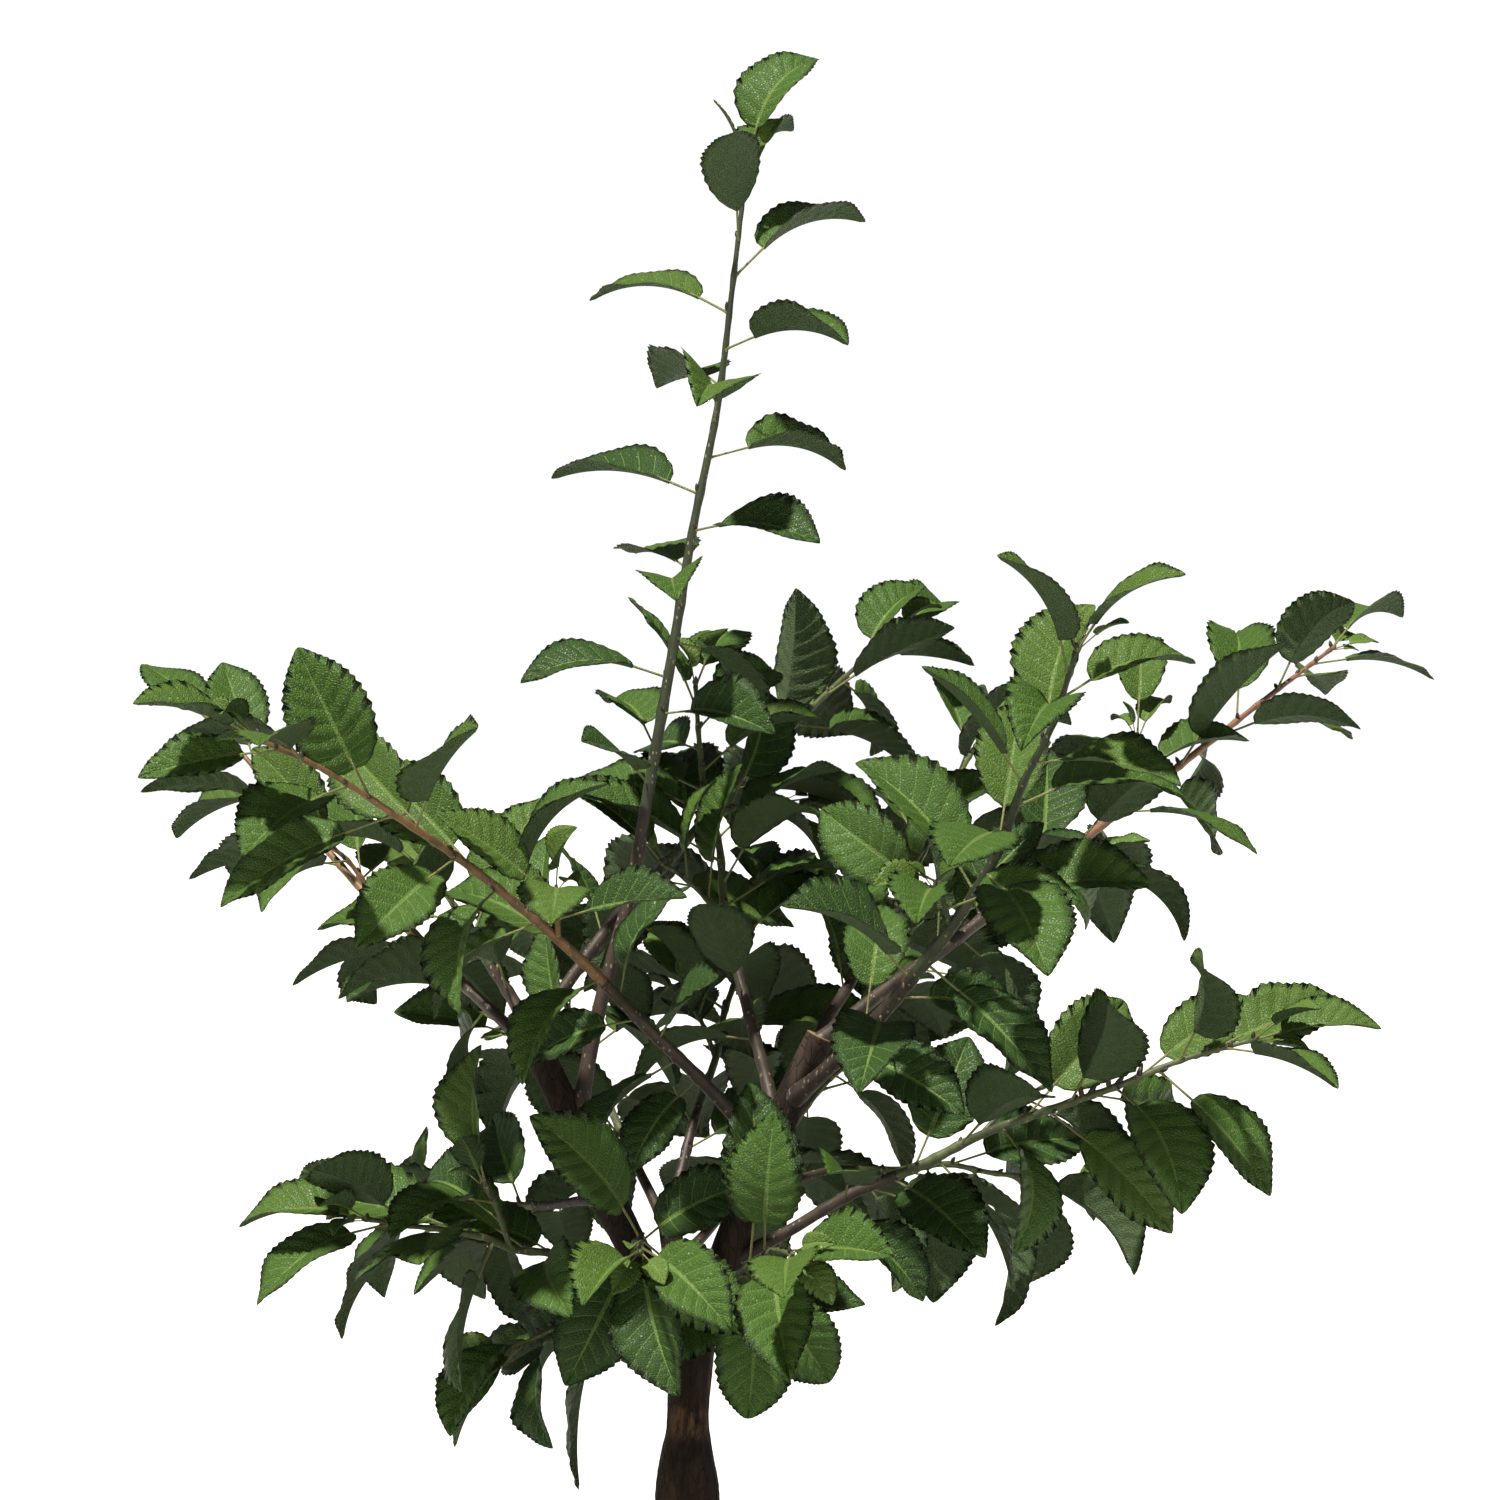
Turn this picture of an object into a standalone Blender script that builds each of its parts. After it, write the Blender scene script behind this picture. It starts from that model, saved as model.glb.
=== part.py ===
"""A young reinette du canada apple tree, trained as an open goblet, in a plain black nursery pot.

Metres, +Z up, with the front of the tree towards -Y. The origin is the centre of the pot's underside.
The trunk and its three boughs carry leafy shoots. Each shoot is one solid: a stem, its side twigs and
its leaves, set out by a seeded rule and joined.
"""

import math
import random
from dataclasses import dataclass, field

import bmesh
import bpy
import numpy as np
from mathutils import Matrix
from mathutils.bvhtree import BVHTree

# Clearance that every piece keeps to the piece that carries it
SEAT = 0.0003

# Pot
POT_HEIGHT = 0.275
POT_TOP_RADIUS = 0.150
POT_FOOT_RADIUS = 0.114
POT_WALL = 0.003
POT_FLOOR = 0.004
POT_CHAMFER = 0.003
RIM_REACH = 0.006
RIM_DEPTH = 0.016
RIM_UNDERCUT = 0.001
TURNED_STEPS = 36
DRAIN_HOLES = 6
DRAIN_RADIUS = 0.006
DRAIN_HEIGHT = 0.017
DRAIN_DEPTH = 0.030
DRAIN_SIDES = 8
SOIL_BELOW_RIM = 0.030
SOIL_TOP = POT_HEIGHT - SOIL_BELOW_RIM

# Trunk: its lean, and its radius at heights above its foot, from the root flare over the graft to the fork.
# It is made a little too long at the foot and cut flat at the soil.
TRUNK_CUT = SOIL_TOP + SEAT
TRUNK_SPARE = 0.004
TRUNK_FOOT = (0.004, 0.0, TRUNK_CUT - TRUNK_SPARE)
TRUNK_TIP = (0.001, 0.0, 0.463)
TRUNK_BOW = (-0.002, 0.0, 0.0)
TRUNK_GIRTHS = (
    (0.000, 0.0330),
    (0.010, 0.0268),
    (0.026, 0.0224),
    (0.054, 0.0196),
    (0.089, 0.0183),
    (0.118, 0.0192),
    (0.138, 0.0168),
    (0.156, 0.0136),
    (0.176, 0.0130),
    (0.200, 0.0143),
    (0.214, 0.0145),
    (0.222, 0.0110),
)

# Points along each limb and stem, and the bevel resolutions that make them round
LIMB_POINTS = 8
STEM_POINTS = 9
TWIG_POINTS = 4
TRUNK_ROUNDNESS = 4
BOUGH_ROUNDNESS = 3
STEM_ROUNDNESS = 0

# Shoots: girth at the tip, how far each bud throws the stem aside, and the side twigs
STEM_TIP_RADIUS = 0.0012
KINK = 0.0022
TWIG_RADIUS = 0.0017
TWIG_LENGTHS = (0.035, 0.060)
TWIG_BOW = (0.0, 0.0, 0.004)
TWIG_LEAN = math.radians(48.0)
TWIG_RISE = 0.25
TWIG_LEAVES = 3
TWIG_LEAF_SIZE = 0.85
TWIG_LEAF_DROOP = 0.1
TWIG_END_LEAN = math.radians(14.0)

# One leaf: blade and stalk sizes, and its half breadth at shares of its length
BLADE_LENGTH = 0.076
BLADE_BREADTH = 0.62
BLADE_THICKNESS = 0.0013
BLADE_STATIONS = ((0.30, 0.95), (0.66, 0.86))
STALK_LENGTH = 0.023
STALK_RADIUS = 0.0010
STALK_FLARE = 1.3

# How leaves stand on a stem: two fifths of a turn apart, leaning out and turned partly to the sun
DIVERGENCE = math.radians(144.0)
STALK_LEAN = math.radians(52.0)
SUNWARD = (-0.10, -0.42, 0.90)
SUN_PULL = 0.55
END_SIZE = 0.86
MIDDLE_GAIN = 0.20
TIP_CLOSING = (0.75, 6)
TIP_LIFTING = (0.70, 4)

# How far leaves differ from one another
SIZE_RANGE = (0.88, 1.08)
STALK_RANGE = (0.80, 1.20)
BREADTH_RANGE = (0.88, 1.10)
ARCH_RANGE = (18.0, 75.0)
FOLD_RANGE = (6.0, 26.0)
TWIST_SPREAD = 14.0
ROLL_SPREAD = 20.0
AZIMUTH_SWAY = 0.35
LEAN_SWAY = 0.20
DROOP_SWAY = 0.15

# Room that leaves and twigs keep to one another, and what is tried before a leaf is left out
CLEARANCE = 0.0012
TURNS_TRIED = tuple(math.radians(turn) for turn in (0, 30, -30, 60, -60, 100, -100))
SIZES_TRIED = (1.0, 0.82)


@dataclass(frozen=True)
class Limb:
    """One tapering bough: its ends, how far its middle bows out, and its end radii."""

    name: str
    foot: tuple
    tip: tuple
    bow: tuple
    foot_radius: float
    tip_radius: float


@dataclass(frozen=True)
class Shoot:
    """One leafy shoot: the limb that carries it and where, its tip and bow, its girth and its leaves.

    It is bare up to a share of its length, and droop is how far its leaves sag.
    """

    name: str
    carrier: str
    at: float
    tip: tuple
    bow: tuple
    girth: float
    leaves: int
    bare: float
    twigs: int
    droop: float
    seed: int


# Each bough is cut clear of the trunk and of the boughs before it
BOUGHS = (
    Limb("bough_left", (0.0, 0.0, 0.440), (-0.101, 0.004, 0.648), (0.0, 0.0, -0.003), 0.0108, 0.0085),
    Limb("bough_right", (0.001, 0.0, 0.438), (0.079, -0.010, 0.634), (-0.004, 0.0, 0.0), 0.0112, 0.0088),
    Limb("bough_back", (0.0, 0.0, 0.444), (-0.014, 0.070, 0.524), (0.0, 0.006, -0.004), 0.0085, 0.0066),
)

SHOOTS = (
    Shoot("leader", "bough_left", 0.67, (0.035, 0.020, 1.156), (0.008, 0.000, 0.000), 0.0048,
          18, 0.36, 0, 0.40, 261),
    Shoot("far_left", "bough_left", 0.86, (-0.318, 0.220, 0.828), (0.000, 0.000, -0.006), 0.0040,
          17, 0.16, 1, 0.20, 75),
    Shoot("up_back", "bough_left", 0.93, (0.130, 0.280, 0.878), (-0.006, 0.000, 0.012), 0.0042,
          20, 0.16, 1, 0.20, 337),
    Shoot("left_short", "bough_left", 0.99, (-0.155, 0.020, 0.730), (0.000, 0.000, 0.004), 0.0032,
          8, 0.16, 0, 0.20, 163),
    Shoot("left_rear", "bough_left", 0.47, (-0.188, 0.150, 0.526), (0.000, 0.000, -0.008), 0.0030,
          10, 0.22, 0, 0.20, 109),
    Shoot("left_low", "bough_left", 0.17, (-0.182, -0.100, 0.534), (0.000, 0.000, 0.009), 0.0030,
          12, 0.24, 1, 0.20, 101),
    Shoot("hanging", "bough_left", 0.07, (-0.099, -0.034, 0.452), (0.000, 0.000, 0.012), 0.0024,
          6, 0.40, 0, 0.90, 66),
    Shoot("right_front", "bough_right", 0.80, (0.214, -0.250, 0.859), (0.020, -0.020, -0.010), 0.0052,
          21, 0.16, 1, 0.20, 289),
    Shoot("centre", "bough_right", 0.72, (0.003, 0.120, 0.845), (-0.006, 0.000, 0.000), 0.0040,
          18, 0.14, 1, 0.20, 56),
    Shoot("left_front", "bough_right", 0.64, (-0.233, -0.220, 0.811), (0.000, 0.000, 0.026), 0.0042,
          22, 0.14, 1, 0.20, 25),
    Shoot("right_high", "bough_right", 0.97, (0.419, 0.250, 0.871), (0.000, 0.000, 0.000), 0.0046,
          23, 0.14, 2, 0.20, 69),
    Shoot("right_back", "bough_right", 0.88, (0.198, 0.300, 0.825), (0.000, 0.000, 0.000), 0.0040,
          16, 0.16, 1, 0.20, 227),
    Shoot("right_low", "bough_right", 0.30, (0.328, -0.080, 0.636), (0.000, 0.000, 0.010), 0.0040,
          20, 0.20, 1, 0.30, 275),
    Shoot("right_thin", "bough_right", 0.52, (0.234, 0.150, 0.529), (0.000, 0.000, 0.014), 0.0028,
          10, 0.34, 0, 0.50, 65),
    Shoot("front_left", "bough_left", 0.30, (-0.025, -0.150, 0.522), (0.000, 0.000, 0.010), 0.0028,
          7, 0.30, 0, 0.20, 296),
    Shoot("front_right", "bough_right", 0.13, (0.060, -0.150, 0.520), (0.000, 0.000, 0.012), 0.0030,
          9, 0.24, 0, 0.30, 49),
    Shoot("centre_back", "bough_back", 0.95, (0.044, 0.200, 0.708), (0.000, 0.000, 0.000), 0.0036,
          12, 0.20, 1, 0.20, 302),
    Shoot("back_left", "bough_back", 0.78, (-0.110, 0.310, 0.700), (0.000, 0.000, -0.010), 0.0036,
          14, 0.24, 1, 0.20, 92),
    Shoot("back_right", "bough_back", 0.62, (0.130, 0.290, 0.640), (0.000, 0.000, -0.006), 0.0034,
          14, 0.26, 1, 0.20, 105),
)

# Colour, roughness and metallic value of each material
FINISHES = {
    "black_plastic": ((0.020, 0.020, 0.021), 0.45, 0.0),
    "potting_soil": ((0.045, 0.028, 0.018), 0.95, 0.0),
    "bark": ((0.070, 0.048, 0.034), 0.85, 0.0),
    "leaf_green": ((0.062, 0.130, 0.034), 0.50, 0.0),
}
SHARP_ANGLE = math.radians(40.0)


def unit(vector):
    """The vector, or each row of vectors, at length one."""
    vector = np.asarray(vector, float)
    return vector / np.linalg.norm(vector, axis=-1, keepdims=True)


def square_to(vector, axis):
    """The part of a vector that is square to a unit axis, at length one."""
    return unit(vector - np.dot(vector, axis) * axis)


def least_axis(heading):
    """The world axis that a heading points along least."""
    return np.eye(3)[np.argmin(np.abs(heading))]


def bowed_path(foot, tip, bow, shares):
    """Points at shares of the line from foot to tip, pushed out by the vector bow at its middle."""
    shares = shares[:, None]
    foot, tip, bow = (np.asarray(point, float) for point in (foot, tip, bow))
    return foot + (tip - foot) * shares + bow * 4.0 * shares * (1.0 - shares)


def on_path(path, share):
    """The point and the direction at a share of a path's length."""
    position = share * (len(path) - 1)
    before = min(int(position), len(path) - 2)
    point = path[before] + (path[before + 1] - path[before]) * (position - before)
    low, high = max(before - 1, 0), min(before + 2, len(path) - 1)
    return point, unit(path[high] - path[low])


def kinked(path, draws):
    """The path with each inner point moved a little, as a shoot bends at its buds."""
    moves = [[draws.uniform(-KINK, KINK) for _ in range(3)] for _ in path]
    moves[0] = moves[-1] = [0.0, 0.0, 0.0]
    return path + np.array(moves)


@dataclass
class Leaf:
    """One leaf: its root, the frame at its blade's foot, its sizes, and how it arches, twists and folds."""

    root: np.ndarray
    along: np.ndarray
    side: np.ndarray
    face: np.ndarray
    stalk: float
    length: float
    breadth: float
    arch: float
    twist: float
    fold: float


def midrib(leaf, reach):
    """Centres, sides and normals at distances from the blade's foot, below zero on the stalk.

    The stalk is straight. The blade bends towards its underside at an even rate and twists evenly.
    """
    run = np.maximum(reach, 0.0)
    rate = leaf.arch / leaf.length
    angle = (rate * run)[:, None]
    forward = np.minimum(reach, 0.0)[:, None] + np.sin(angle) / rate
    drop = (1.0 - np.cos(angle)) / rate
    centre = leaf.root + leaf.along * (leaf.stalk + forward) - leaf.face * drop
    normal = leaf.face * np.cos(angle) + leaf.along * np.sin(angle)
    turn = (leaf.twist * run / leaf.length)[:, None]
    side = leaf.side * np.cos(turn) + normal * np.sin(turn)
    return centre, side, normal * np.cos(turn) - leaf.side * np.sin(turn)


def ring_faces(rings, sides, pointed):
    """Faces over rings of the same number of sides, closed by a cap and by a point or a second cap."""
    faces = [tuple(reversed(range(sides)))]
    for ring in range(rings - 1):
        for k in range(sides):
            here, after = ring * sides + k, ring * sides + (k + 1) % sides
            faces.append((here, after, after + sides, here + sides))
    last = (rings - 1) * sides
    if pointed:
        faces += [(last + k, last + (k + 1) % sides, last + sides) for k in range(sides)]
    else:
        faces.append(tuple(range(last, last + sides)))
    return faces


def leaf_solid(leaf, with_stalk=True, spare=0.0):
    """Vertices and faces of a leaf: four-sided sections from the stalk over the blade to its tip."""
    stations = [(-leaf.stalk, STALK_RADIUS, STALK_RADIUS)] if with_stalk else []
    stations.append((0.0, STALK_FLARE * STALK_RADIUS, STALK_RADIUS))
    half = leaf.breadth / 2.0
    stations += [(share * leaf.length, wide * half, BLADE_THICKNESS / 2.0) for share, wide in BLADE_STATIONS]
    reach, wide, thick = (np.array(column) for column in zip(*stations))
    centre, side, normal = midrib(leaf, np.append(reach, leaf.length + spare))
    wide, thick = (wide + spare)[:, None], (thick + spare)[:, None]
    out = side[:-1] * math.cos(leaf.fold) * wide
    rise = normal[:-1] * math.sin(leaf.fold) * wide
    thick = normal[:-1] * thick
    middle = centre[:-1]
    rings = np.stack([middle + out + rise, middle + thick, middle - out + rise, middle - thick], axis=1)
    points = np.vstack([rings.reshape(-1, 3), centre[-1]])
    return points, ring_faces(len(stations), 4, True)


def tube_solid(path, radii, sides=4):
    """Vertices and faces of a plain tube round a path, used to keep leaves clear of a stem."""
    heading = unit(np.gradient(path, axis=0))
    first = unit(np.cross(heading, least_axis(heading.mean(axis=0))))
    second = np.cross(heading, first)
    angles = 2.0 * math.pi * np.arange(sides) / sides
    spokes = first[:, None] * np.cos(angles)[:, None] + second[:, None] * np.sin(angles)[:, None]
    points = path[:, None] + spokes * np.asarray(radii)[:, None, None]
    return points.reshape(-1, 3), ring_faces(len(path), sides, False)


class Guard:
    """A shape that later leaves and twigs must not touch."""

    def __init__(self, points, faces):
        self.low, self.high = points.min(axis=0), points.max(axis=0)
        self.tree = BVHTree.FromPolygons(points.tolist(), faces)

    def touches(self, other):
        """Whether the two shapes meet; their boxes are compared first."""
        apart = (self.low > other.high).any() or (other.low > self.high).any()
        return not apart and bool(self.tree.overlap(other.tree))


def stem_guard(path, radii, sides=4):
    """The room that a stem or limb keeps round itself."""
    return Guard(*tube_solid(path, radii + CLEARANCE, sides))


def new_leaf(draws, root, heading, azimuth, lean, size, droop):
    """A leaf at a node of a stem: it leans out from the heading, sags, and turns its face to the sun."""
    first = square_to(least_axis(heading), heading)
    second = np.cross(heading, first)
    outward = first * math.cos(azimuth) + second * math.sin(azimuth)
    along = unit(heading * math.cos(lean) + outward * math.sin(lean) - np.array((0.0, 0.0, droop)))
    face = square_to(heading * (1.0 - SUN_PULL) + unit(SUNWARD) * SUN_PULL, along)
    side = np.cross(face, along)
    roll = draws.gauss(0.0, math.radians(ROLL_SPREAD))
    face, side = face * math.cos(roll) + side * math.sin(roll), side * math.cos(roll) - face * math.sin(roll)
    return Leaf(
        root=root, along=along, side=side, face=face,
        stalk=STALK_LENGTH * draws.uniform(*STALK_RANGE) * (0.5 + 0.5 * size),
        length=BLADE_LENGTH * size,
        breadth=BLADE_LENGTH * size * BLADE_BREADTH * draws.uniform(*BREADTH_RANGE),
        arch=math.radians(draws.uniform(*ARCH_RANGE)),
        twist=math.radians(draws.gauss(0.0, TWIST_SPREAD)),
        fold=math.radians(draws.uniform(*FOLD_RANGE)),
    )


@dataclass
class Crop:
    """What one shoot has grown: its stems as paths with radii, its own first, and its leaves."""

    index: int
    stems: list
    leaves: list = field(default_factory=list)


class Tree:
    """Grows the shoots one after another, each leaf and twig clear of everything before it."""

    def __init__(self, shoots, limbs):
        self.shoots = shoots
        self.crops = []
        for index, shoot in enumerate(shoots):
            foot, _ = on_path(limbs[shoot.carrier][0], shoot.at)
            path = bowed_path(foot, shoot.tip, shoot.bow, np.linspace(0.0, 1.0, STEM_POINTS))
            path = kinked(path, random.Random(shoot.seed))
            radii = np.linspace(shoot.girth, STEM_TIP_RADIUS, STEM_POINTS)
            self.crops.append(Crop(index, [(path, radii)]))
        self.limb_guards = [stem_guard(path, radii, 8) for path, radii in limbs.values()]
        self.stem_guards = [stem_guard(*crop.stems[0]) for crop in self.crops]
        self.leaf_guards = [[] for _ in shoots]

    def is_clear(self, index, whole, outer):
        """Whether a whole piece is clear of the limbs and other shoots, and its outer part of its own."""
        if any(whole.touches(guard) for guard in self.limb_guards):
            return False
        for number, stem in enumerate(self.stem_guards):
            piece = outer if number == index else whole
            if piece.touches(stem) or any(piece.touches(guard) for guard in self.leaf_guards[number]):
                return False
        return True

    def is_home(self, index, point):
        """Whether a point is nearer the stem of its own shoot than any other stem."""
        nearest = [np.linalg.norm(crop.stems[0][0] - point, axis=1).min() for crop in self.crops]
        return int(np.argmin(nearest)) == index

    def add_leaf(self, crop, draws, root, heading, azimuth, lean, size, droop):
        """Adds a leaf, turned round its stem or made smaller until it fits, or leaves it out."""
        state = draws.getstate()
        for share in SIZES_TRIED:
            for turn in TURNS_TRIED:
                draws.setstate(state)
                leaf = new_leaf(draws, root, heading, azimuth + turn, lean, size * share, droop)
                whole = Guard(*leaf_solid(leaf, spare=CLEARANCE))
                outer = Guard(*leaf_solid(leaf, with_stalk=False, spare=CLEARANCE))
                middle = midrib(leaf, np.array([0.5 * leaf.length]))[0][0]
                if self.is_home(crop.index, middle) and self.is_clear(crop.index, whole, outer):
                    crop.leaves.append(leaf)
                    self.leaf_guards[crop.index].append(outer)
                    return

    def add_twig(self, crop, draws, root, heading, azimuth):
        """Adds a side twig with leaves of its own, unless it would touch something."""
        spur = new_leaf(draws, root, heading, azimuth, TWIG_LEAN, 1.0, -TWIG_RISE)
        tip = root + spur.along * draws.uniform(*TWIG_LENGTHS)
        path = bowed_path(root, tip, TWIG_BOW, np.linspace(0.0, 1.0, TWIG_POINTS))
        radii = np.linspace(TWIG_RADIUS, STEM_TIP_RADIUS, TWIG_POINTS)
        outer = stem_guard(path[1:], radii[1:])
        if not self.is_clear(crop.index, outer, outer):
            return
        crop.stems.append((path, radii))
        self.leaf_guards[crop.index].append(outer)
        for number in range(1, TWIG_LEAVES + 1):
            point, onward = on_path(path, number / TWIG_LEAVES)
            lean = TWIG_END_LEAN if number == TWIG_LEAVES else STALK_LEAN
            azimuth = (number - 1) * DIVERGENCE
            self.add_leaf(crop, draws, point, onward, azimuth, lean, TWIG_LEAF_SIZE, TWIG_LEAF_DROOP)

    def grow(self, crop):
        """Sets leaves and side twigs round a shoot, two fifths of a turn on from one to the next."""
        shoot = self.shoots[crop.index]
        draws = random.Random(shoot.seed)
        first_azimuth = draws.uniform(0.0, 2.0 * math.pi)
        hand = draws.choice((-1, 1))
        twig_nodes = {round((k + 1) * shoot.leaves / (shoot.twigs + 2)) for k in range(shoot.twigs)}
        for number in range(shoot.leaves):
            step = number / (shoot.leaves - 1)
            point, heading = on_path(crop.stems[0][0], shoot.bare + (1.0 - shoot.bare) * step)
            azimuth = first_azimuth + hand * number * DIVERGENCE + draws.uniform(-AZIMUTH_SWAY, AZIMUTH_SWAY)
            closing = 1.0 - TIP_CLOSING[0] * step ** TIP_CLOSING[1]
            lifting = 1.0 - TIP_LIFTING[0] * step ** TIP_LIFTING[1]
            lean = STALK_LEAN * closing + draws.uniform(-LEAN_SWAY, LEAN_SWAY)
            droop = shoot.droop * lifting + draws.uniform(-DROOP_SWAY, DROOP_SWAY)
            size = (END_SIZE + MIDDLE_GAIN * math.sin(math.pi * step)) * draws.uniform(*SIZE_RANGE)
            if number in twig_nodes:
                self.add_twig(crop, draws, point, heading, azimuth)
            else:
                self.add_leaf(crop, draws, point, heading, azimuth, lean, size, droop)


def limb_lines():
    """Centre lines and radii of the trunk and boughs, by name."""
    heights, radii = (np.array(column) for column in zip(*TRUNK_GIRTHS))
    lines = {"trunk": (bowed_path(TRUNK_FOOT, TRUNK_TIP, TRUNK_BOW, heights / heights[-1]), radii)}
    for limb in BOUGHS:
        path = bowed_path(limb.foot, limb.tip, limb.bow, np.linspace(0.0, 1.0, LIMB_POINTS))
        lines[limb.name] = path, np.linspace(limb.foot_radius, limb.tip_radius, LIMB_POINTS)
    return lines


def new_collection(name):
    """A new collection in the scene."""
    collection = bpy.data.collections.new(name)
    bpy.context.scene.collection.children.link(collection)
    return collection


def new_material(name):
    """A Principled material with the colour, roughness and metallic value of its finish."""
    colour, roughness, metallic = FINISHES[name]
    material = bpy.data.materials.new(name)
    material.use_nodes = True
    material.diffuse_color = (*colour, 1.0)
    shader = material.node_tree.nodes["Principled BSDF"]
    shader.inputs["Base Color"].default_value = (*colour, 1.0)
    shader.inputs["Roughness"].default_value = roughness
    shader.inputs["Metallic"].default_value = metallic
    return material


def place(name, mesh, collection, material=None):
    """A new object of a mesh in a collection."""
    piece = bpy.data.objects.new(name, mesh)
    collection.objects.link(piece)
    if material:
        mesh.materials.append(material)
    return piece


def place_cutter(name, mesh, cutters):
    """A new object that only cuts others, shown as wires and left out of a render."""
    cutter = place(name, mesh, cutters)
    cutter.hide_render = True
    cutter.display_type = "WIRE"
    return cutter


def shade_round(mesh):
    """Shades a round piece smooth, with its edges kept sharp."""
    mesh.shade_smooth()
    mesh.set_sharp_from_angle(angle=SHARP_ANGLE)


def evaluated_mesh(piece):
    """A new mesh of triangles with the piece's modifiers applied and its coincident points made one."""
    graph = bpy.context.evaluated_depsgraph_get()
    mesh = bpy.data.meshes.new_from_object(piece.evaluated_get(graph))
    shape = bmesh.new()
    shape.from_mesh(mesh)
    bmesh.ops.remove_doubles(shape, verts=shape.verts, dist=1e-6)
    bmesh.ops.triangulate(shape, faces=shape.faces)
    shape.to_mesh(mesh)
    shape.free()
    return mesh


def tube_mesh(name, path, radii, roundness):
    """A tapering closed tube as a mesh: a curve with a bevel and filled caps, converted and welded."""
    curve = bpy.data.curves.new(name, "CURVE")
    curve.dimensions = "3D"
    curve.bevel_depth = 1.0
    curve.bevel_resolution = roundness
    curve.use_fill_caps = True
    spline = curve.splines.new("POLY")
    spline.points.add(len(path) - 1)
    for point, centre, radius in zip(spline.points, path, radii):
        point.co = (*centre, 1.0)
        point.radius = radius
    guide = bpy.data.objects.new(name, curve)
    bpy.context.scene.collection.objects.link(guide)
    mesh = evaluated_mesh(guide)
    bpy.data.objects.remove(guide)
    bpy.data.curves.remove(curve)
    return mesh


def turned_piece(name, profile, collection, material):
    """A turned solid: a profile of (radius, height) points from axis to axis, swept round that axis."""
    mesh = bpy.data.meshes.new(name)
    edges = [(k, k + 1) for k in range(len(profile) - 1)]
    mesh.from_pydata([(radius, 0.0, height) for radius, height in profile], edges, [])
    piece = place(name, mesh, collection, material)
    screw = piece.modifiers.new("Turn", "SCREW")
    screw.steps = screw.render_steps = TURNED_STEPS
    screw.use_merge_vertices = True
    screw.merge_threshold = 0.0001
    return piece


def boolean(piece, operation, other):
    """Applies one Boolean to a piece, with another object or with all the objects of a collection."""
    cut = piece.modifiers.new(operation.title(), "BOOLEAN")
    cut.operation = operation
    cut.solver = "EXACT"
    if isinstance(other, bpy.types.Collection):
        cut.operand_type = "COLLECTION"
        cut.collection = other
    else:
        cut.object = other
    mesh = evaluated_mesh(piece)
    piece.modifiers.clear()
    old = piece.data
    piece.data = mesh
    bpy.data.meshes.remove(old)


def cut_flat(mesh, height):
    """Cuts away what lies below a height and closes the mesh with a level face."""
    shape = bmesh.new()
    shape.from_mesh(mesh)
    everything = shape.verts[:] + shape.edges[:] + shape.faces[:]
    bmesh.ops.bisect_plane(shape, geom=everything, plane_co=(0.0, 0.0, height), plane_no=(0.0, 0.0, 1.0),
                           clear_inner=True)
    bmesh.ops.holes_fill(shape, edges=[edge for edge in shape.edges if edge.is_boundary])
    bmesh.ops.triangulate(shape, faces=shape.faces)
    shape.to_mesh(mesh)
    shape.free()


def keep_main_body(piece):
    """Drops loose scraps and fills sealed hollows: only the largest surface that hangs together stays."""
    shape = bmesh.new()
    shape.from_mesh(piece.data)
    left = set(shape.faces)
    bodies = []
    while left:
        front = [left.pop()]
        body = set(front)
        while front:
            face = front.pop()
            beside = {other for edge in face.edges for other in edge.link_faces} & left
            left -= beside
            body |= beside
            front += beside
        bodies.append(body)
    main = max(bodies, key=len)
    loose = [face for face in shape.faces if face not in main]
    bmesh.ops.delete(shape, geom=loose, context="FACES")
    shape.to_mesh(piece.data)
    shape.free()


def drain_cutter(cutters):
    """Short cylinders lying flat round the foot of the pot, where its drain holes go."""
    shape = bmesh.new()
    for number in range(DRAIN_HOLES):
        angle = 2.0 * math.pi * (number + 0.5) / DRAIN_HOLES
        outward = Matrix.Rotation(angle, 4, "Z") @ Matrix.Translation((POT_FOOT_RADIUS, 0.0, DRAIN_HEIGHT))
        lying = outward @ Matrix.Rotation(math.pi / 2.0, 4, "Y")
        bmesh.ops.create_cone(shape, cap_ends=True, segments=DRAIN_SIDES, radius1=DRAIN_RADIUS,
                              radius2=DRAIN_RADIUS, depth=DRAIN_DEPTH, matrix=lying)
    mesh = bpy.data.meshes.new("drain_holes")
    shape.to_mesh(mesh)
    shape.free()
    return place_cutter("drain_holes", mesh, cutters)


def build_pot(parts, cutters, material):
    """The pot: a tapering turned wall with a rolled rim, and drain holes round its foot."""
    lip = POT_TOP_RADIUS + RIM_REACH
    under_rim = POT_HEIGHT - RIM_DEPTH
    profile = (
        (0.0, 0.0),
        (POT_FOOT_RADIUS - POT_CHAMFER, 0.0),
        (POT_FOOT_RADIUS, POT_CHAMFER),
        (POT_TOP_RADIUS - RIM_UNDERCUT, under_rim),
        (lip, under_rim),
        (lip, POT_HEIGHT),
        (POT_TOP_RADIUS - POT_WALL, POT_HEIGHT),
        (POT_FOOT_RADIUS - POT_WALL, POT_FLOOR),
        (0.0, POT_FLOOR),
    )
    pot = turned_piece("pot", profile, parts, material)
    boolean(pot, "DIFFERENCE", drain_cutter(cutters))
    shade_round(pot.data)


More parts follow.
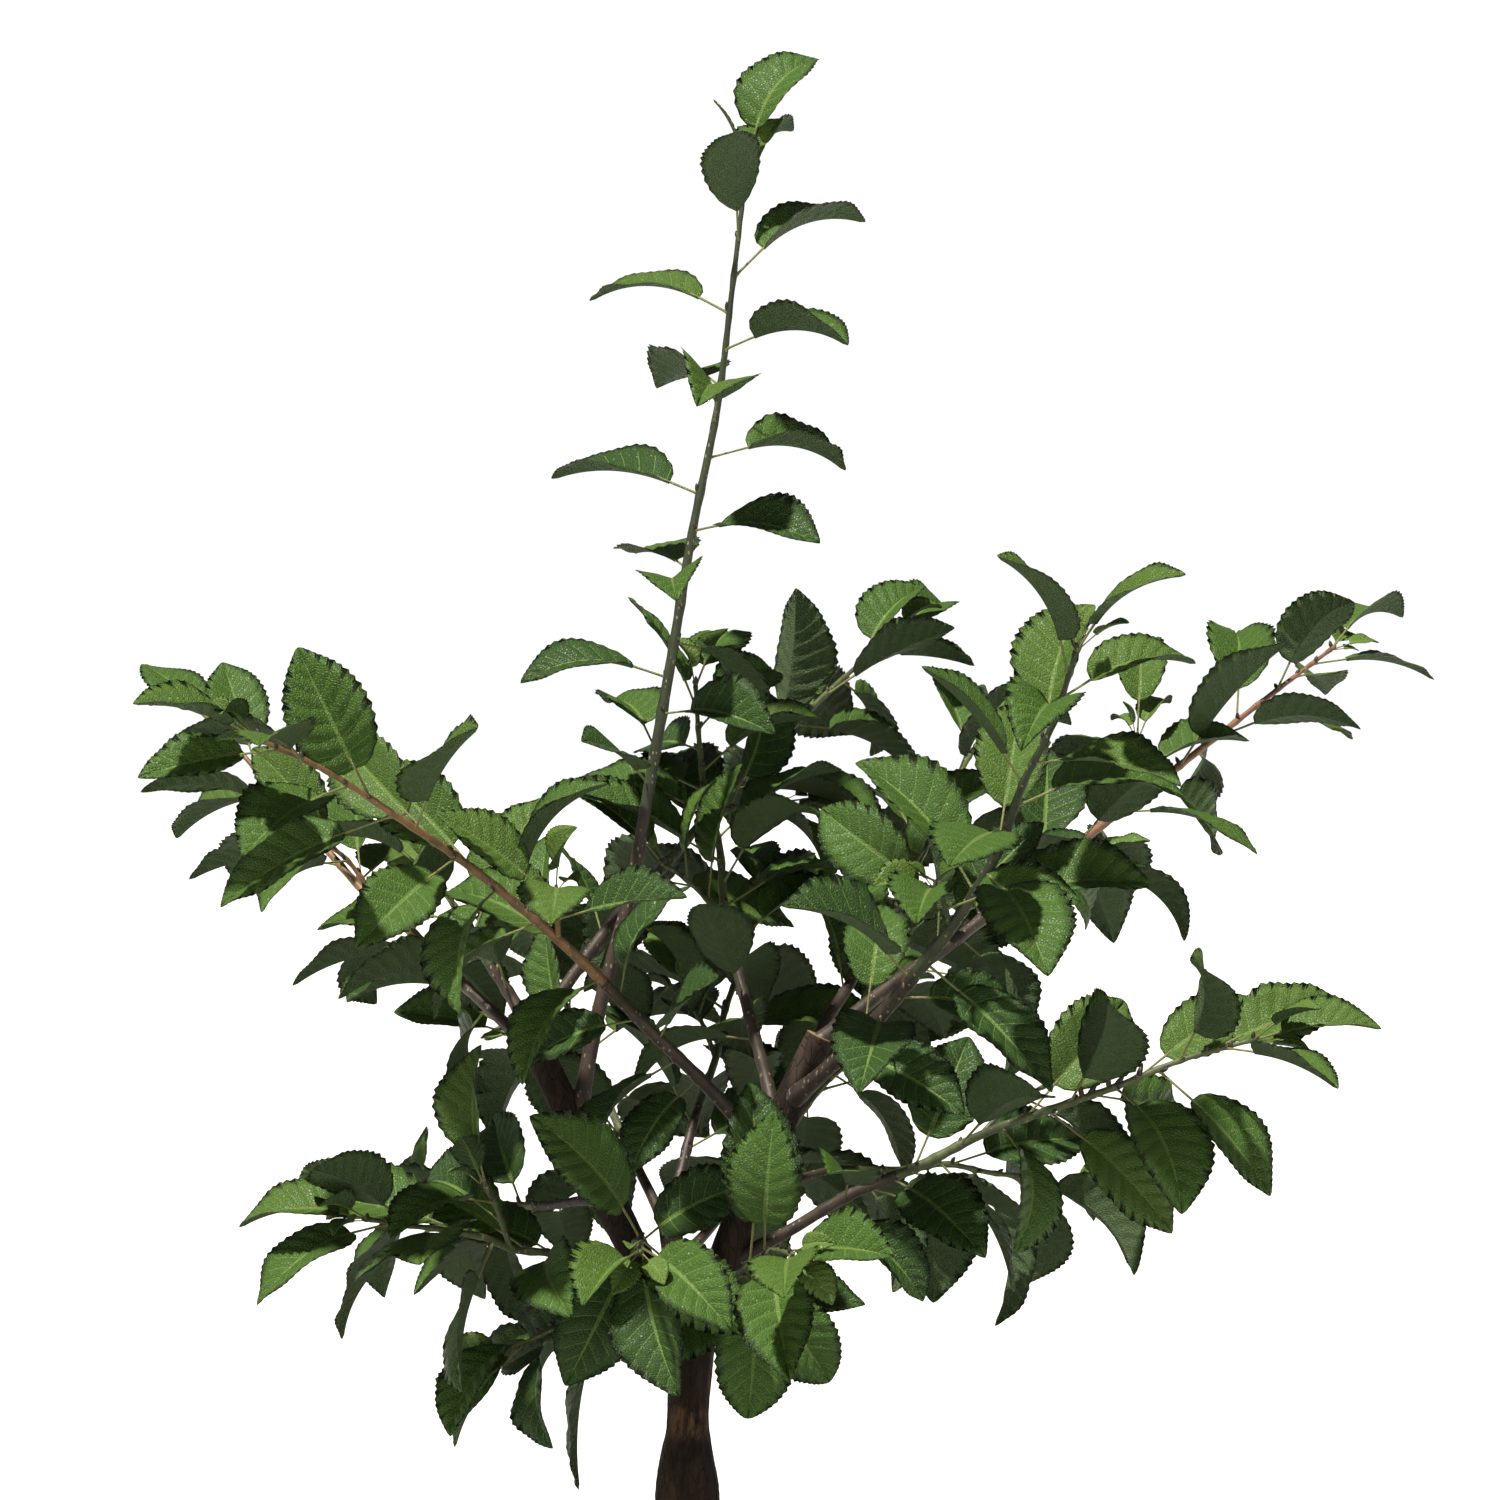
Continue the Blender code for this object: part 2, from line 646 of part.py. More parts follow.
def build_soil(parts, material):
    """The soil: a plug that fills the pot to just below its rim, clear of the wall by the seat."""
    taper = (POT_TOP_RADIUS - POT_FOOT_RADIUS) / (POT_HEIGHT - POT_FLOOR)
    foot_radius = POT_FOOT_RADIUS - POT_WALL - 2.0 * SEAT
    low = POT_FLOOR + SEAT
    top_radius = foot_radius + taper * (SOIL_TOP - low)
    profile = ((0.0, SOIL_TOP), (top_radius, SOIL_TOP), (foot_radius, low), (0.0, low))
    turned_piece("soil", profile, parts, material)


def build_limbs(parts, cutters, material, lines):
    """The trunk and boughs, each cut clear of those before it; returns the cutters that seat the rest."""
    seats = []
    for name, (path, radii) in lines.items():
        roundness = TRUNK_ROUNDNESS if name == "trunk" else BOUGH_ROUNDNESS
        limb = place(name, tube_mesh(name, path, radii, roundness), parts, material)
        if name == "trunk":
            cut_flat(limb.data, TRUNK_CUT)
        for seat in seats:
            boolean(limb, "DIFFERENCE", seat)
        keep_main_body(limb)
        shade_round(limb.data)
        seats.append(place_cutter(name + "_seat", tube_mesh(name, path, radii + 1.05 * SEAT, roundness), cutters))
    return seats


def build_mass(name, crop, seats, parts, material):
    """One mass of foliage: its stem, side twigs and leaves joined, cut clear of the limb under its foot."""
    path, radii = crop.stems[0]
    mass = place(name, tube_mesh(name, path, radii, STEM_ROUNDNESS), parts, material)
    for seat in seats:
        boolean(mass, "DIFFERENCE", seat)
    keep_main_body(mass)
    loose = new_collection(name + "_pieces")
    for number, (twig, girths) in enumerate(crop.stems[1:]):
        place(f"{name}_twig_{number}", tube_mesh("twig", twig, girths, STEM_ROUNDNESS), loose)
    for number, leaf in enumerate(crop.leaves):
        points, faces = leaf_solid(leaf)
        blade = bpy.data.meshes.new(f"{name}_leaf_{number}")
        blade.from_pydata(points.tolist(), [], faces)
        piece = place(blade.name, blade, loose)
        piece.data = evaluated_mesh(piece)
    boolean(mass, "UNION", loose)
    for piece in list(loose.objects):
        bpy.data.objects.remove(piece)
    bpy.data.collections.remove(loose)
    keep_main_body(mass)


def main():
    """Clears the scene and builds the pot, the soil, the limbs and the masses of foliage."""
    for old in list(bpy.data.objects):
        bpy.data.objects.remove(old)
    parts = new_collection("potted_tree")
    cutters = new_collection("cutters")
    materials = {name: new_material(name) for name in FINISHES}
    build_pot(parts, cutters, materials["black_plastic"])
    build_soil(parts, materials["potting_soil"])
    lines = limb_lines()
    seats = build_limbs(parts, cutters, materials["bark"], lines)
    tree = Tree(SHOOTS, lines)
    for crop in tree.crops:
        tree.grow(crop)
    for shoot, crop in zip(SHOOTS, tree.crops):
        build_mass(f"foliage_{shoot.name}", crop, seats, parts, materials["leaf_green"])


if __name__ == "__main__":
    main()
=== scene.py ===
"""Dresses a young reinette du canada apple tree in its pot: bark, shoots, leaves, soil, pot and stage."""

import functools
import math
import random
from dataclasses import dataclass, field

import bmesh
import bpy
import numpy as np
from bpy.props import FloatProperty, FloatVectorProperty, IntProperty, PointerProperty
from mathutils import Matrix, Vector
from mathutils.bvhtree import BVHTree


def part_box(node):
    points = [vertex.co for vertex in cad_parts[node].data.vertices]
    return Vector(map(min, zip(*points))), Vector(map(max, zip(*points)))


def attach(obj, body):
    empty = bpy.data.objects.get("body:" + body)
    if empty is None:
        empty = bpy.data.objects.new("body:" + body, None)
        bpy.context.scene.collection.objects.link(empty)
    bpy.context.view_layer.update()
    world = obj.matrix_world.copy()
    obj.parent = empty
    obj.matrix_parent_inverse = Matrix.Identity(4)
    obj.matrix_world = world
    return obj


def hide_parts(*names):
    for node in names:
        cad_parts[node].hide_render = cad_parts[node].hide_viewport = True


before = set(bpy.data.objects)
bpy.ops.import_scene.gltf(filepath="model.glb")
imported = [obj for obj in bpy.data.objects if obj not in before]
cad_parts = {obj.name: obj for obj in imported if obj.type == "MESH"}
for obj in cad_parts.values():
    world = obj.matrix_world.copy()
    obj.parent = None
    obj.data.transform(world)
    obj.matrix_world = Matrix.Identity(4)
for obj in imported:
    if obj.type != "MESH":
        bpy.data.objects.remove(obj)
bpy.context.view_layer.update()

bl_info = {
    "name": "Potted Fruit Tree",
    "version": (1, 0, 0),
    "blender": (4, 5, 0),
    "location": "View3D > Sidebar > Tree",
    "description": "Grows the bark, shoots and leaves of a young fruit tree round its packed model",
    "category": "Add Mesh",
}

BODY = "root"

# Pot and soil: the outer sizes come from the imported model
LIP_RADIUS, _, POT_HEIGHT = (float(part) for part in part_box("pot")[1])
SOIL_RADIUS, _, SOIL_TOP = (float(part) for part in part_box("soil")[1])
RIM_REACH = 0.006
RIM_DEPTH = 0.016
POT_TOP_RADIUS = LIP_RADIUS - RIM_REACH
POT_FOOT_RADIUS = 0.114
POT_WALL = 0.003
POT_FLOOR = 0.004
DRAIN_HOLES = 6
DRAIN_RADIUS = 0.006
DRAIN_HEIGHT = 0.017

# The pot's drawn outline: roundings, then the band and the rim's neck as (radius, height) steps
FOOT_ROUND = 0.004
RIM_ROUND = 0.002
LIP_ROUND = 0.003
BAND_DROP = 0.045
BAND = ((-0.0010, -0.002), (0.0004, 0.0), (0.0004, 0.002), (-0.0008, 0.004))
RIM_NECK = ((-0.0025, -0.004), (-0.001, 0.0))

# Soil surface: rings and sides, the swells by wavelength and height, and what is strewn on it
SOIL_RINGS = (60, 180)
SOIL_EYE = 0.0005
SOIL_DEPTH = 0.03
MOUND = 0.004
MOUND_REACH = 0.05
SWELLS = ((0.09, 0.0016), (0.035, 0.0012), (0.014, 0.0009), (0.006, 0.0006))
SWELL_WAVES = 7
SWELL_DIVISOR = 2.6
SWELL_SEED = 5
SURFACE_DROP = 0.003
WALL_SINK = 0.004
WALL_SINK_REACH = 0.02
CRUMB_SEED = 8
CRUMB_SIZES = (0.0012, 0.0034)
CHIP_SHARE = 0.22
CHIP_STRETCH = 2.6

# Trunk: its lean, and its radius at heights above its foot, from the root flare over the graft to the fork
SEAT = 0.0003
TRUNK_CUT = SOIL_TOP + SEAT
TRUNK_FOOT = (0.004, 0.0, TRUNK_CUT - 0.004)
TRUNK_TIP = (0.001, 0.0, 0.463)
TRUNK_BOW = (-0.002, 0.0, 0.0)
TRUNK_GIRTHS = (
    (0.000, 0.0330),
    (0.010, 0.0268),
    (0.026, 0.0224),
    (0.054, 0.0196),
    (0.089, 0.0183),
    (0.118, 0.0192),
    (0.138, 0.0168),
    (0.156, 0.0136),
    (0.176, 0.0130),
    (0.200, 0.0143),
    (0.214, 0.0145),
    (0.222, 0.0110),
)

# Points along each limb and stem that the growth rule uses
LIMB_POINTS = 8
STEM_POINTS = 9
TWIG_POINTS = 4

# Shoots: girth at the tip, how far each bud throws the stem aside, and the side twigs
STEM_TIP_RADIUS = 0.0012
KINK = 0.0022
TWIG_RADIUS = 0.0017
TWIG_LENGTHS = (0.035, 0.060)
TWIG_BOW = (0.0, 0.0, 0.004)
TWIG_LEAN = math.radians(48.0)
TWIG_RISE = 0.25
TWIG_LEAVES = 3
TWIG_LEAF_SIZE = 0.85
TWIG_LEAF_DROOP = 0.1
TWIG_END_LEAN = math.radians(14.0)

# One leaf: blade and stalk sizes, and the plain sections that keep it clear of the rest
BLADE_LENGTH = 0.076
BLADE_BREADTH = 0.62
BLADE_THICKNESS = 0.0013
BLADE_STATIONS = ((0.30, 0.95), (0.66, 0.86))
STALK_LENGTH = 0.023
STALK_RADIUS = 0.0010
STALK_FLARE = 1.3

# How leaves stand on a stem: two fifths of a turn apart, leaning out and turned partly to the sun
DIVERGENCE = math.radians(144.0)
STALK_LEAN = math.radians(52.0)
SUNWARD = (-0.10, -0.42, 0.90)
SUN_PULL = 0.55
END_SIZE = 0.86
MIDDLE_GAIN = 0.20
TIP_CLOSING = (0.75, 6)
TIP_LIFTING = (0.70, 4)

# How far leaves differ from one another
SIZE_RANGE = (0.88, 1.08)
STALK_RANGE = (0.80, 1.20)
BREADTH_RANGE = (0.88, 1.10)
ARCH_RANGE = (18.0, 75.0)
FOLD_RANGE = (6.0, 26.0)
TWIST_SPREAD = 14.0
ROLL_SPREAD = 20.0
AZIMUTH_SWAY = 0.35
LEAN_SWAY = 0.20
DROOP_SWAY = 0.15

# Room that leaves and twigs keep to one another, and what is tried before a leaf is left out
CLEARANCE = 0.0012
TURNS_TRIED = tuple(math.radians(turn) for turn in (0, 30, -30, 60, -60, 100, -100))
SIZES_TRIED = (1.0, 0.82)

# Young leaves at the very tips: their sizes and how far they lean out
YOUNG_SIZES = (0.42, 0.30, 0.20)
YOUNG_LEAN = math.radians(24.0)

# The drawn bark: steps and rings along a limb, and waves (seed, number, turns, pitch, relief share)
TRUNK_STEPS = 400
TRUNK_RINGS = 230
BOUGH_RINGS = 170
BARK_WAVES = (
    (20, 9, (1, 4), (15.0, 70.0), 1.0),
    (40, 14, (5, 14), (30.0, 260.0), 0.35),
    (60, 18, (12, 30), (300.0, 900.0), 0.16),
)
CRACK_COLOUR = (0.022, 0.015, 0.011)
GRAIN_COLOUR = (0.095, 0.066, 0.044)
PORE_COLOUR = (0.42, 0.36, 0.24)
DUST_COLOUR = (0.115, 0.092, 0.070)

# Pale patches on the bark, worn and split: place, radius, where the clouds let them show, strength, colour
BARK_PATCHES = (
    ((0.001, -0.012, 0.403), 0.016, (0.40, 0.55), 0.75, (0.230, 0.125, 0.060)),
    ((0.056, -0.014, 0.585), 0.012, (0.42, 0.52), 0.80, (0.330, 0.270, 0.150)),
)

# The drawn shoots: rings and sides, the swelling at each node and at the foot, the brown share, and buds
STEM_RINGS = 72
TWIG_RINGS = 24
STEM_SIDES = 12
NODE_SWELL = 0.0005
NODE_REACH = 0.003
COLLAR_SWELL = 0.35
COLLAR_REACH = 0.022
BROWN_SHARE = 0.34
BUD_RINGS = 6
BUD_SIDES = 7
BUD_LENGTHS = (0.0045, 0.0065)
BUD_RADIUS = 0.0014
END_BUD = (0.006, 0.0019)

# The drawn leaf's grid: side veins, columns across the blade, half a vein's width, rows and their teeth
VEINS = 8
VEIN_START = 0.35
VEIN_STRIP = 0.0030
COLUMNS = np.array((-1.0, -0.72, -0.38, -0.028, 0.0, 0.028, 0.38, 0.72, 1.0))
ROWS_BETWEEN = (0.28, 0.52, 0.76)
FIRST_ROW = 0.012
LAST_ROW = 0.985
TEETH = (1.0, 1.0, -1.0, 1.0, -1.0)
FIRST_TOOTH = 0.6
TOOTH = 0.034

# The drawn leaf's form: the oval, how far rows sweep forward, and the relief
OVAL_POWER = 0.62
FOOT_GAIN = 0.10
TIP_LOSS = 0.30
VEIN_SWEEP = 0.80
SWEEP_POWER = 1.15
POINT_STRETCH = 0.06
LEAF_THICKNESS = 0.00045
MIDRIB_DEPTH = 0.0009
MIDRIB_SINK = 0.0006
PUCKER = 0.0017
PUCKER_RANGE = (0.6, 1.3)
CUP_RANGE = (-0.10, 0.30)
RUFFLE = 0.0022
RUFFLE_RANGE = (0.3, 1.0)
RUFFLE_BEATS = (1.2, 2.6)

# The drawn stalk: stations along it, how far it runs under the blade, and its girths
STALK_STATIONS = (-1.0, -0.94, -0.80, -0.40, 0.0)
STALK_RUN = 0.10
STALK_GIRTHS = (1.5, 1.25, 0.80, 0.72, 0.80, 0.45)
STALK_SIDES = 6

# The leaves' skins (setting, roughness, relief), and the ages at which the tints part; the darkest tint, on
# the oldest leaves deep in the crown, is partly their own darker green and partly painted shade
LEAF_SKINS = (
    ("old_and_shade", 0.46, 0.0004),
    ("middle", 0.48, 0.0004),
    ("fresh", 0.48, 0.0004),
    ("young", 0.42, 0.0003),
    ("under", 0.72, 0.0006),
    ("vein", 0.50, 0.0003),
    ("stalk", 0.50, 0.0003),
)
TINT_SPREAD = 0.28
OLD_AND_SHADE_UP_TO = 0.30
FRESH_FROM = 0.86

# Small marks: sawn spots (place, facing, radius), and dead spurs (share of the shoot, sideways lean)
SAWN_SPOTS = (
    ((-0.011, -0.0135, 0.459), (-0.4, -1.0, 0.1), 0.0036),
    ((-0.007, -0.0140, 0.447), (-0.2, -1.0, 0.0), 0.0030),
)
SPOT_GIRTHS = (1.5, 1.35, 1.2, 1.1, 1.0, 0.9)
SPOT_SIDES = 20
DEAD_SPURS = ((0.685, -0.5), (0.695, 0.5), (0.735, -0.4), (0.745, 0.6), (0.79, 0.1))
SPUR_SIZE = (0.011, 0.0017)

# The stage: the sun, the floor's size and fade, the sky, and the photograph's camera, level along +Y
SUN_HEADING = (0.30, 0.40, -1.0)
SUN_SPREAD = math.radians(2.5)
SUN_COLOUR = (1.0, 0.965, 0.905)
FLOOR_RADIUS = 60.0
FLOOR_FADE = (0.9, 2.2)
FLOOR_COLOURS = ((0.42, 0.42, 0.41), (0.90, 0.90, 0.90))
SKY_COLOUR = (0.97, 0.98, 1.0, 1.0)
WHITE = (1.0, 1.0, 1.0, 1.0)
WHITE_STRENGTH = 1.05
CAMERA_PLACE = (0.0372, -2.6, 0.805)
CAMERA_LENS = 104.0


@dataclass(frozen=True)
class Limb:
    """One tapering bough: its ends, how far its middle bows out, and its end radii."""

    name: str
    foot: tuple
    tip: tuple
    bow: tuple
    foot_radius: float
    tip_radius: float


@dataclass(frozen=True)
class Shoot:
    """One leafy shoot: the limb that carries it and where, its tip and bow, its girth and its leaves.

    It is bare up to a share of its length, and droop is how far its leaves sag.
    """

    name: str
    carrier: str
    at: float
    tip: tuple
    bow: tuple
    girth: float
    leaves: int
    bare: float
    twigs: int
    droop: float
    seed: int


BOUGHS = (
    Limb("bough_left", (0.0, 0.0, 0.440), (-0.101, 0.004, 0.648), (0.0, 0.0, -0.003), 0.0108, 0.0085),
    Limb("bough_right", (0.001, 0.0, 0.438), (0.079, -0.010, 0.634), (-0.004, 0.0, 0.0), 0.0112, 0.0088),
    Limb("bough_back", (0.0, 0.0, 0.444), (-0.014, 0.070, 0.524), (0.0, 0.006, -0.004), 0.0085, 0.0066),
)

SHOOTS = (
    Shoot("leader", "bough_left", 0.67, (0.035, 0.020, 1.156), (0.008, 0.000, 0.000), 0.0048,
          18, 0.36, 0, 0.40, 261),
    Shoot("far_left", "bough_left", 0.86, (-0.318, 0.220, 0.828), (0.000, 0.000, -0.006), 0.0040,
          17, 0.16, 1, 0.20, 75),
    Shoot("up_back", "bough_left", 0.93, (0.130, 0.280, 0.878), (-0.006, 0.000, 0.012), 0.0042,
          20, 0.16, 1, 0.20, 337),
    Shoot("left_short", "bough_left", 0.99, (-0.155, 0.020, 0.730), (0.000, 0.000, 0.004), 0.0032,
          8, 0.16, 0, 0.20, 163),
    Shoot("left_rear", "bough_left", 0.47, (-0.188, 0.150, 0.526), (0.000, 0.000, -0.008), 0.0030,
          10, 0.22, 0, 0.20, 109),
    Shoot("left_low", "bough_left", 0.17, (-0.182, -0.100, 0.534), (0.000, 0.000, 0.009), 0.0030,
          12, 0.24, 1, 0.20, 101),
    Shoot("hanging", "bough_left", 0.07, (-0.099, -0.034, 0.452), (0.000, 0.000, 0.012), 0.0024,
          6, 0.40, 0, 0.90, 66),
    Shoot("right_front", "bough_right", 0.80, (0.214, -0.250, 0.859), (0.020, -0.020, -0.010), 0.0052,
          21, 0.16, 1, 0.20, 289),
    Shoot("centre", "bough_right", 0.72, (0.003, 0.120, 0.845), (-0.006, 0.000, 0.000), 0.0040,
          18, 0.14, 1, 0.20, 56),
    Shoot("left_front", "bough_right", 0.64, (-0.233, -0.220, 0.811), (0.000, 0.000, 0.026), 0.0042,
          22, 0.14, 1, 0.20, 25),
    Shoot("right_high", "bough_right", 0.97, (0.419, 0.250, 0.871), (0.000, 0.000, 0.000), 0.0046,
          23, 0.14, 2, 0.20, 69),
    Shoot("right_back", "bough_right", 0.88, (0.198, 0.300, 0.825), (0.000, 0.000, 0.000), 0.0040,
          16, 0.16, 1, 0.20, 227),
    Shoot("right_low", "bough_right", 0.30, (0.328, -0.080, 0.636), (0.000, 0.000, 0.010), 0.0040,
          20, 0.20, 1, 0.30, 275),
    Shoot("right_thin", "bough_right", 0.52, (0.234, 0.150, 0.529), (0.000, 0.000, 0.014), 0.0028,
          10, 0.34, 0, 0.50, 65),
    Shoot("front_left", "bough_left", 0.30, (-0.025, -0.150, 0.522), (0.000, 0.000, 0.010), 0.0028,
          7, 0.30, 0, 0.20, 296),
    Shoot("front_right", "bough_right", 0.13, (0.060, -0.150, 0.520), (0.000, 0.000, 0.012), 0.0030,
          9, 0.24, 0, 0.30, 49),
    Shoot("centre_back", "bough_back", 0.95, (0.044, 0.200, 0.708), (0.000, 0.000, 0.000), 0.0036,
          12, 0.20, 1, 0.20, 302),
    Shoot("back_left", "bough_back", 0.78, (-0.110, 0.310, 0.700), (0.000, 0.000, -0.010), 0.0036,
          14, 0.24, 1, 0.20, 92),
    Shoot("back_right", "bough_back", 0.62, (0.130, 0.290, 0.640), (0.000, 0.000, -0.006), 0.0034,
          14, 0.26, 1, 0.20, 105),
)

# Young bark: its colour and its shade
RIND_COLOURS = {
    "brown_rind": ((0.062, 0.042, 0.028), (0.032, 0.022, 0.016)),
    "green_rind": ((0.100, 0.130, 0.045), (0.060, 0.072, 0.030)),
    "dark_rind": ((0.042, 0.058, 0.022), (0.026, 0.030, 0.014)),
    "golden_rind": ((0.255, 0.135, 0.055), (0.140, 0.085, 0.035)),
    "pink_rind": ((0.300, 0.135, 0.085), (0.160, 0.100, 0.045)),
}

# The rind of each shoot towards its tip; a shoot that isn't named here is green
RINDS = {
    "left_front": "golden_rind",
    "right_high": "pink_rind",
    "leader": "dark_rind",
    "right_front": "dark_rind",
    "far_left": "golden_rind",
}


def unit(vector):
    """The vector, or each row of vectors, at length one."""
    vector = np.asarray(vector, float)
    return vector / np.linalg.norm(vector, axis=-1, keepdims=True)


def square_to(vector, axis):
    """The part of a vector that is square to a unit axis, at length one."""
    return unit(vector - np.dot(vector, axis) * axis)


def least_axis(heading):
    """The world axis that a heading points along least."""
    return np.eye(3)[np.argmin(np.abs(heading))]


def bowed_path(foot, tip, bow, shares):
    """Points at shares of the line from foot to tip, pushed out by the vector bow at its middle."""
    shares = shares[:, None]
    foot, tip, bow = (np.asarray(point, float) for point in (foot, tip, bow))
    return foot + (tip - foot) * shares + bow * 4.0 * shares * (1.0 - shares)


def on_path(path, share):
    """The point and the direction at a share of a path's length."""
    position = share * (len(path) - 1)
    before = min(int(position), len(path) - 2)
    point = path[before] + (path[before + 1] - path[before]) * (position - before)
    low, high = max(before - 1, 0), min(before + 2, len(path) - 1)
    return point, unit(path[high] - path[low])


def kinked(path, draws):
    """The path with each inner point moved a little, as a shoot bends at its buds."""
    moves = [[draws.uniform(-KINK, KINK) for _ in range(3)] for _ in path]
    moves[0] = moves[-1] = [0.0, 0.0, 0.0]
    return path + np.array(moves)


@dataclass
class Leaf:
    """One leaf: its root, the frame at its blade's foot, its sizes, and how it arches, twists and folds."""

    root: np.ndarray
    along: np.ndarray
    side: np.ndarray
    face: np.ndarray
    stalk: float
    length: float
    breadth: float
    arch: float
    twist: float
    fold: float


def midrib(leaf, reach):
    """Centres, sides and normals at distances from the blade's foot, below zero on the stalk.

    The stalk is straight. The blade bends towards its underside at an even rate and twists evenly.
    """
    run = np.maximum(reach, 0.0)
    rate = leaf.arch / leaf.length
    angle = (rate * run)[:, None]
    forward = np.minimum(reach, 0.0)[:, None] + np.sin(angle) / rate
    drop = (1.0 - np.cos(angle)) / rate
    centre = leaf.root + leaf.along * (leaf.stalk + forward) - leaf.face * drop
    normal = leaf.face * np.cos(angle) + leaf.along * np.sin(angle)
    turn = (leaf.twist * run / leaf.length)[:, None]
    side = leaf.side * np.cos(turn) + normal * np.sin(turn)
    return centre, side, normal * np.cos(turn) - leaf.side * np.sin(turn)


def ring_faces(rings, sides, pointed):
    """Faces over rings of the same number of sides, closed by a cap and by a point or a second cap."""
    faces = [tuple(reversed(range(sides)))]
    for ring in range(rings - 1):
        for k in range(sides):
            here, after = ring * sides + k, ring * sides + (k + 1) % sides
            faces.append((here, after, after + sides, here + sides))
    last = (rings - 1) * sides
    if pointed:
        faces += [(last + k, last + (k + 1) % sides, last + sides) for k in range(sides)]
    else:
        faces.append(tuple(range(last, last + sides)))
    return faces


def leaf_solid(leaf, with_stalk=True, spare=0.0):
    """Vertices and faces of a plain leaf: four-sided sections from the stalk over the blade to its tip."""
    stations = [(-leaf.stalk, STALK_RADIUS, STALK_RADIUS)] if with_stalk else []
    stations.append((0.0, STALK_FLARE * STALK_RADIUS, STALK_RADIUS))
    half = leaf.breadth / 2.0
    stations += [(share * leaf.length, wide * half, BLADE_THICKNESS / 2.0) for share, wide in BLADE_STATIONS]
    reach, wide, thick = (np.array(column) for column in zip(*stations))
    centre, side, normal = midrib(leaf, np.append(reach, leaf.length + spare))
    wide, thick = (wide + spare)[:, None], (thick + spare)[:, None]
    out = side[:-1] * math.cos(leaf.fold) * wide
    rise = normal[:-1] * math.sin(leaf.fold) * wide
    thick = normal[:-1] * thick
    middle = centre[:-1]
    rings = np.stack([middle + out + rise, middle + thick, middle - out + rise, middle - thick], axis=1)
    points = np.vstack([rings.reshape(-1, 3), centre[-1]])
    return points, ring_faces(len(stations), 4, True)


def spokes_of(path, sides):
    """Unit spokes square to a path, the same number round each of its points, and their angles."""
    heading = unit(np.gradient(path, axis=0))
    first = unit(np.cross(heading, least_axis(heading.mean(axis=0))))
    second = np.cross(heading, first)
    angles = 2.0 * math.pi * np.arange(sides) / sides
    return first[:, None] * np.cos(angles)[:, None] + second[:, None] * np.sin(angles)[:, None], angles


def tube_solid(path, radii, sides=4):
    """Vertices and faces of a plain tube round a path, used to keep leaves clear of a stem."""
    spokes, _ = spokes_of(path, sides)
    points = path[:, None] + spokes * np.asarray(radii)[:, None, None]
    return points.reshape(-1, 3), ring_faces(len(path), sides, False)


class Guard:
    """A shape that later leaves and twigs must not touch."""

    def __init__(self, points, faces):
        self.low, self.high = points.min(axis=0), points.max(axis=0)
        self.tree = BVHTree.FromPolygons(points.tolist(), faces)

    def touches(self, other):
        """Whether the two shapes meet; their boxes are compared first."""
        apart = (self.low > other.high).any() or (other.low > self.high).any()
        return not apart and bool(self.tree.overlap(other.tree))


def stem_guard(path, radii, sides=4):
    """The room that a stem or limb keeps round itself."""
    return Guard(*tube_solid(path, radii + CLEARANCE, sides))


def new_leaf(draws, root, heading, azimuth, lean, size, droop):
    """A leaf at a node of a stem: it leans out from the heading, sags, and turns its face to the sun."""
    first = square_to(least_axis(heading), heading)
    second = np.cross(heading, first)
    outward = first * math.cos(azimuth) + second * math.sin(azimuth)
    along = unit(heading * math.cos(lean) + outward * math.sin(lean) - np.array((0.0, 0.0, droop)))
    face = square_to(heading * (1.0 - SUN_PULL) + unit(SUNWARD) * SUN_PULL, along)
    side = np.cross(face, along)
    roll = draws.gauss(0.0, math.radians(ROLL_SPREAD))
    face, side = face * math.cos(roll) + side * math.sin(roll), side * math.cos(roll) - face * math.sin(roll)
    return Leaf(
        root=root, along=along, side=side, face=face,
        stalk=STALK_LENGTH * draws.uniform(*STALK_RANGE) * (0.5 + 0.5 * size),
        length=BLADE_LENGTH * size,
        breadth=BLADE_LENGTH * size * BLADE_BREADTH * draws.uniform(*BREADTH_RANGE),
        arch=math.radians(draws.uniform(*ARCH_RANGE)),
        twist=math.radians(draws.gauss(0.0, TWIST_SPREAD)),
        fold=math.radians(draws.uniform(*FOLD_RANGE)),
    )


@dataclass
class Crop:
    """What one shoot has grown: its stems as paths with radii, its own first, and its leaves."""

    index: int
    stems: list
    leaves: list = field(default_factory=list)
    young: list = field(default_factory=list)


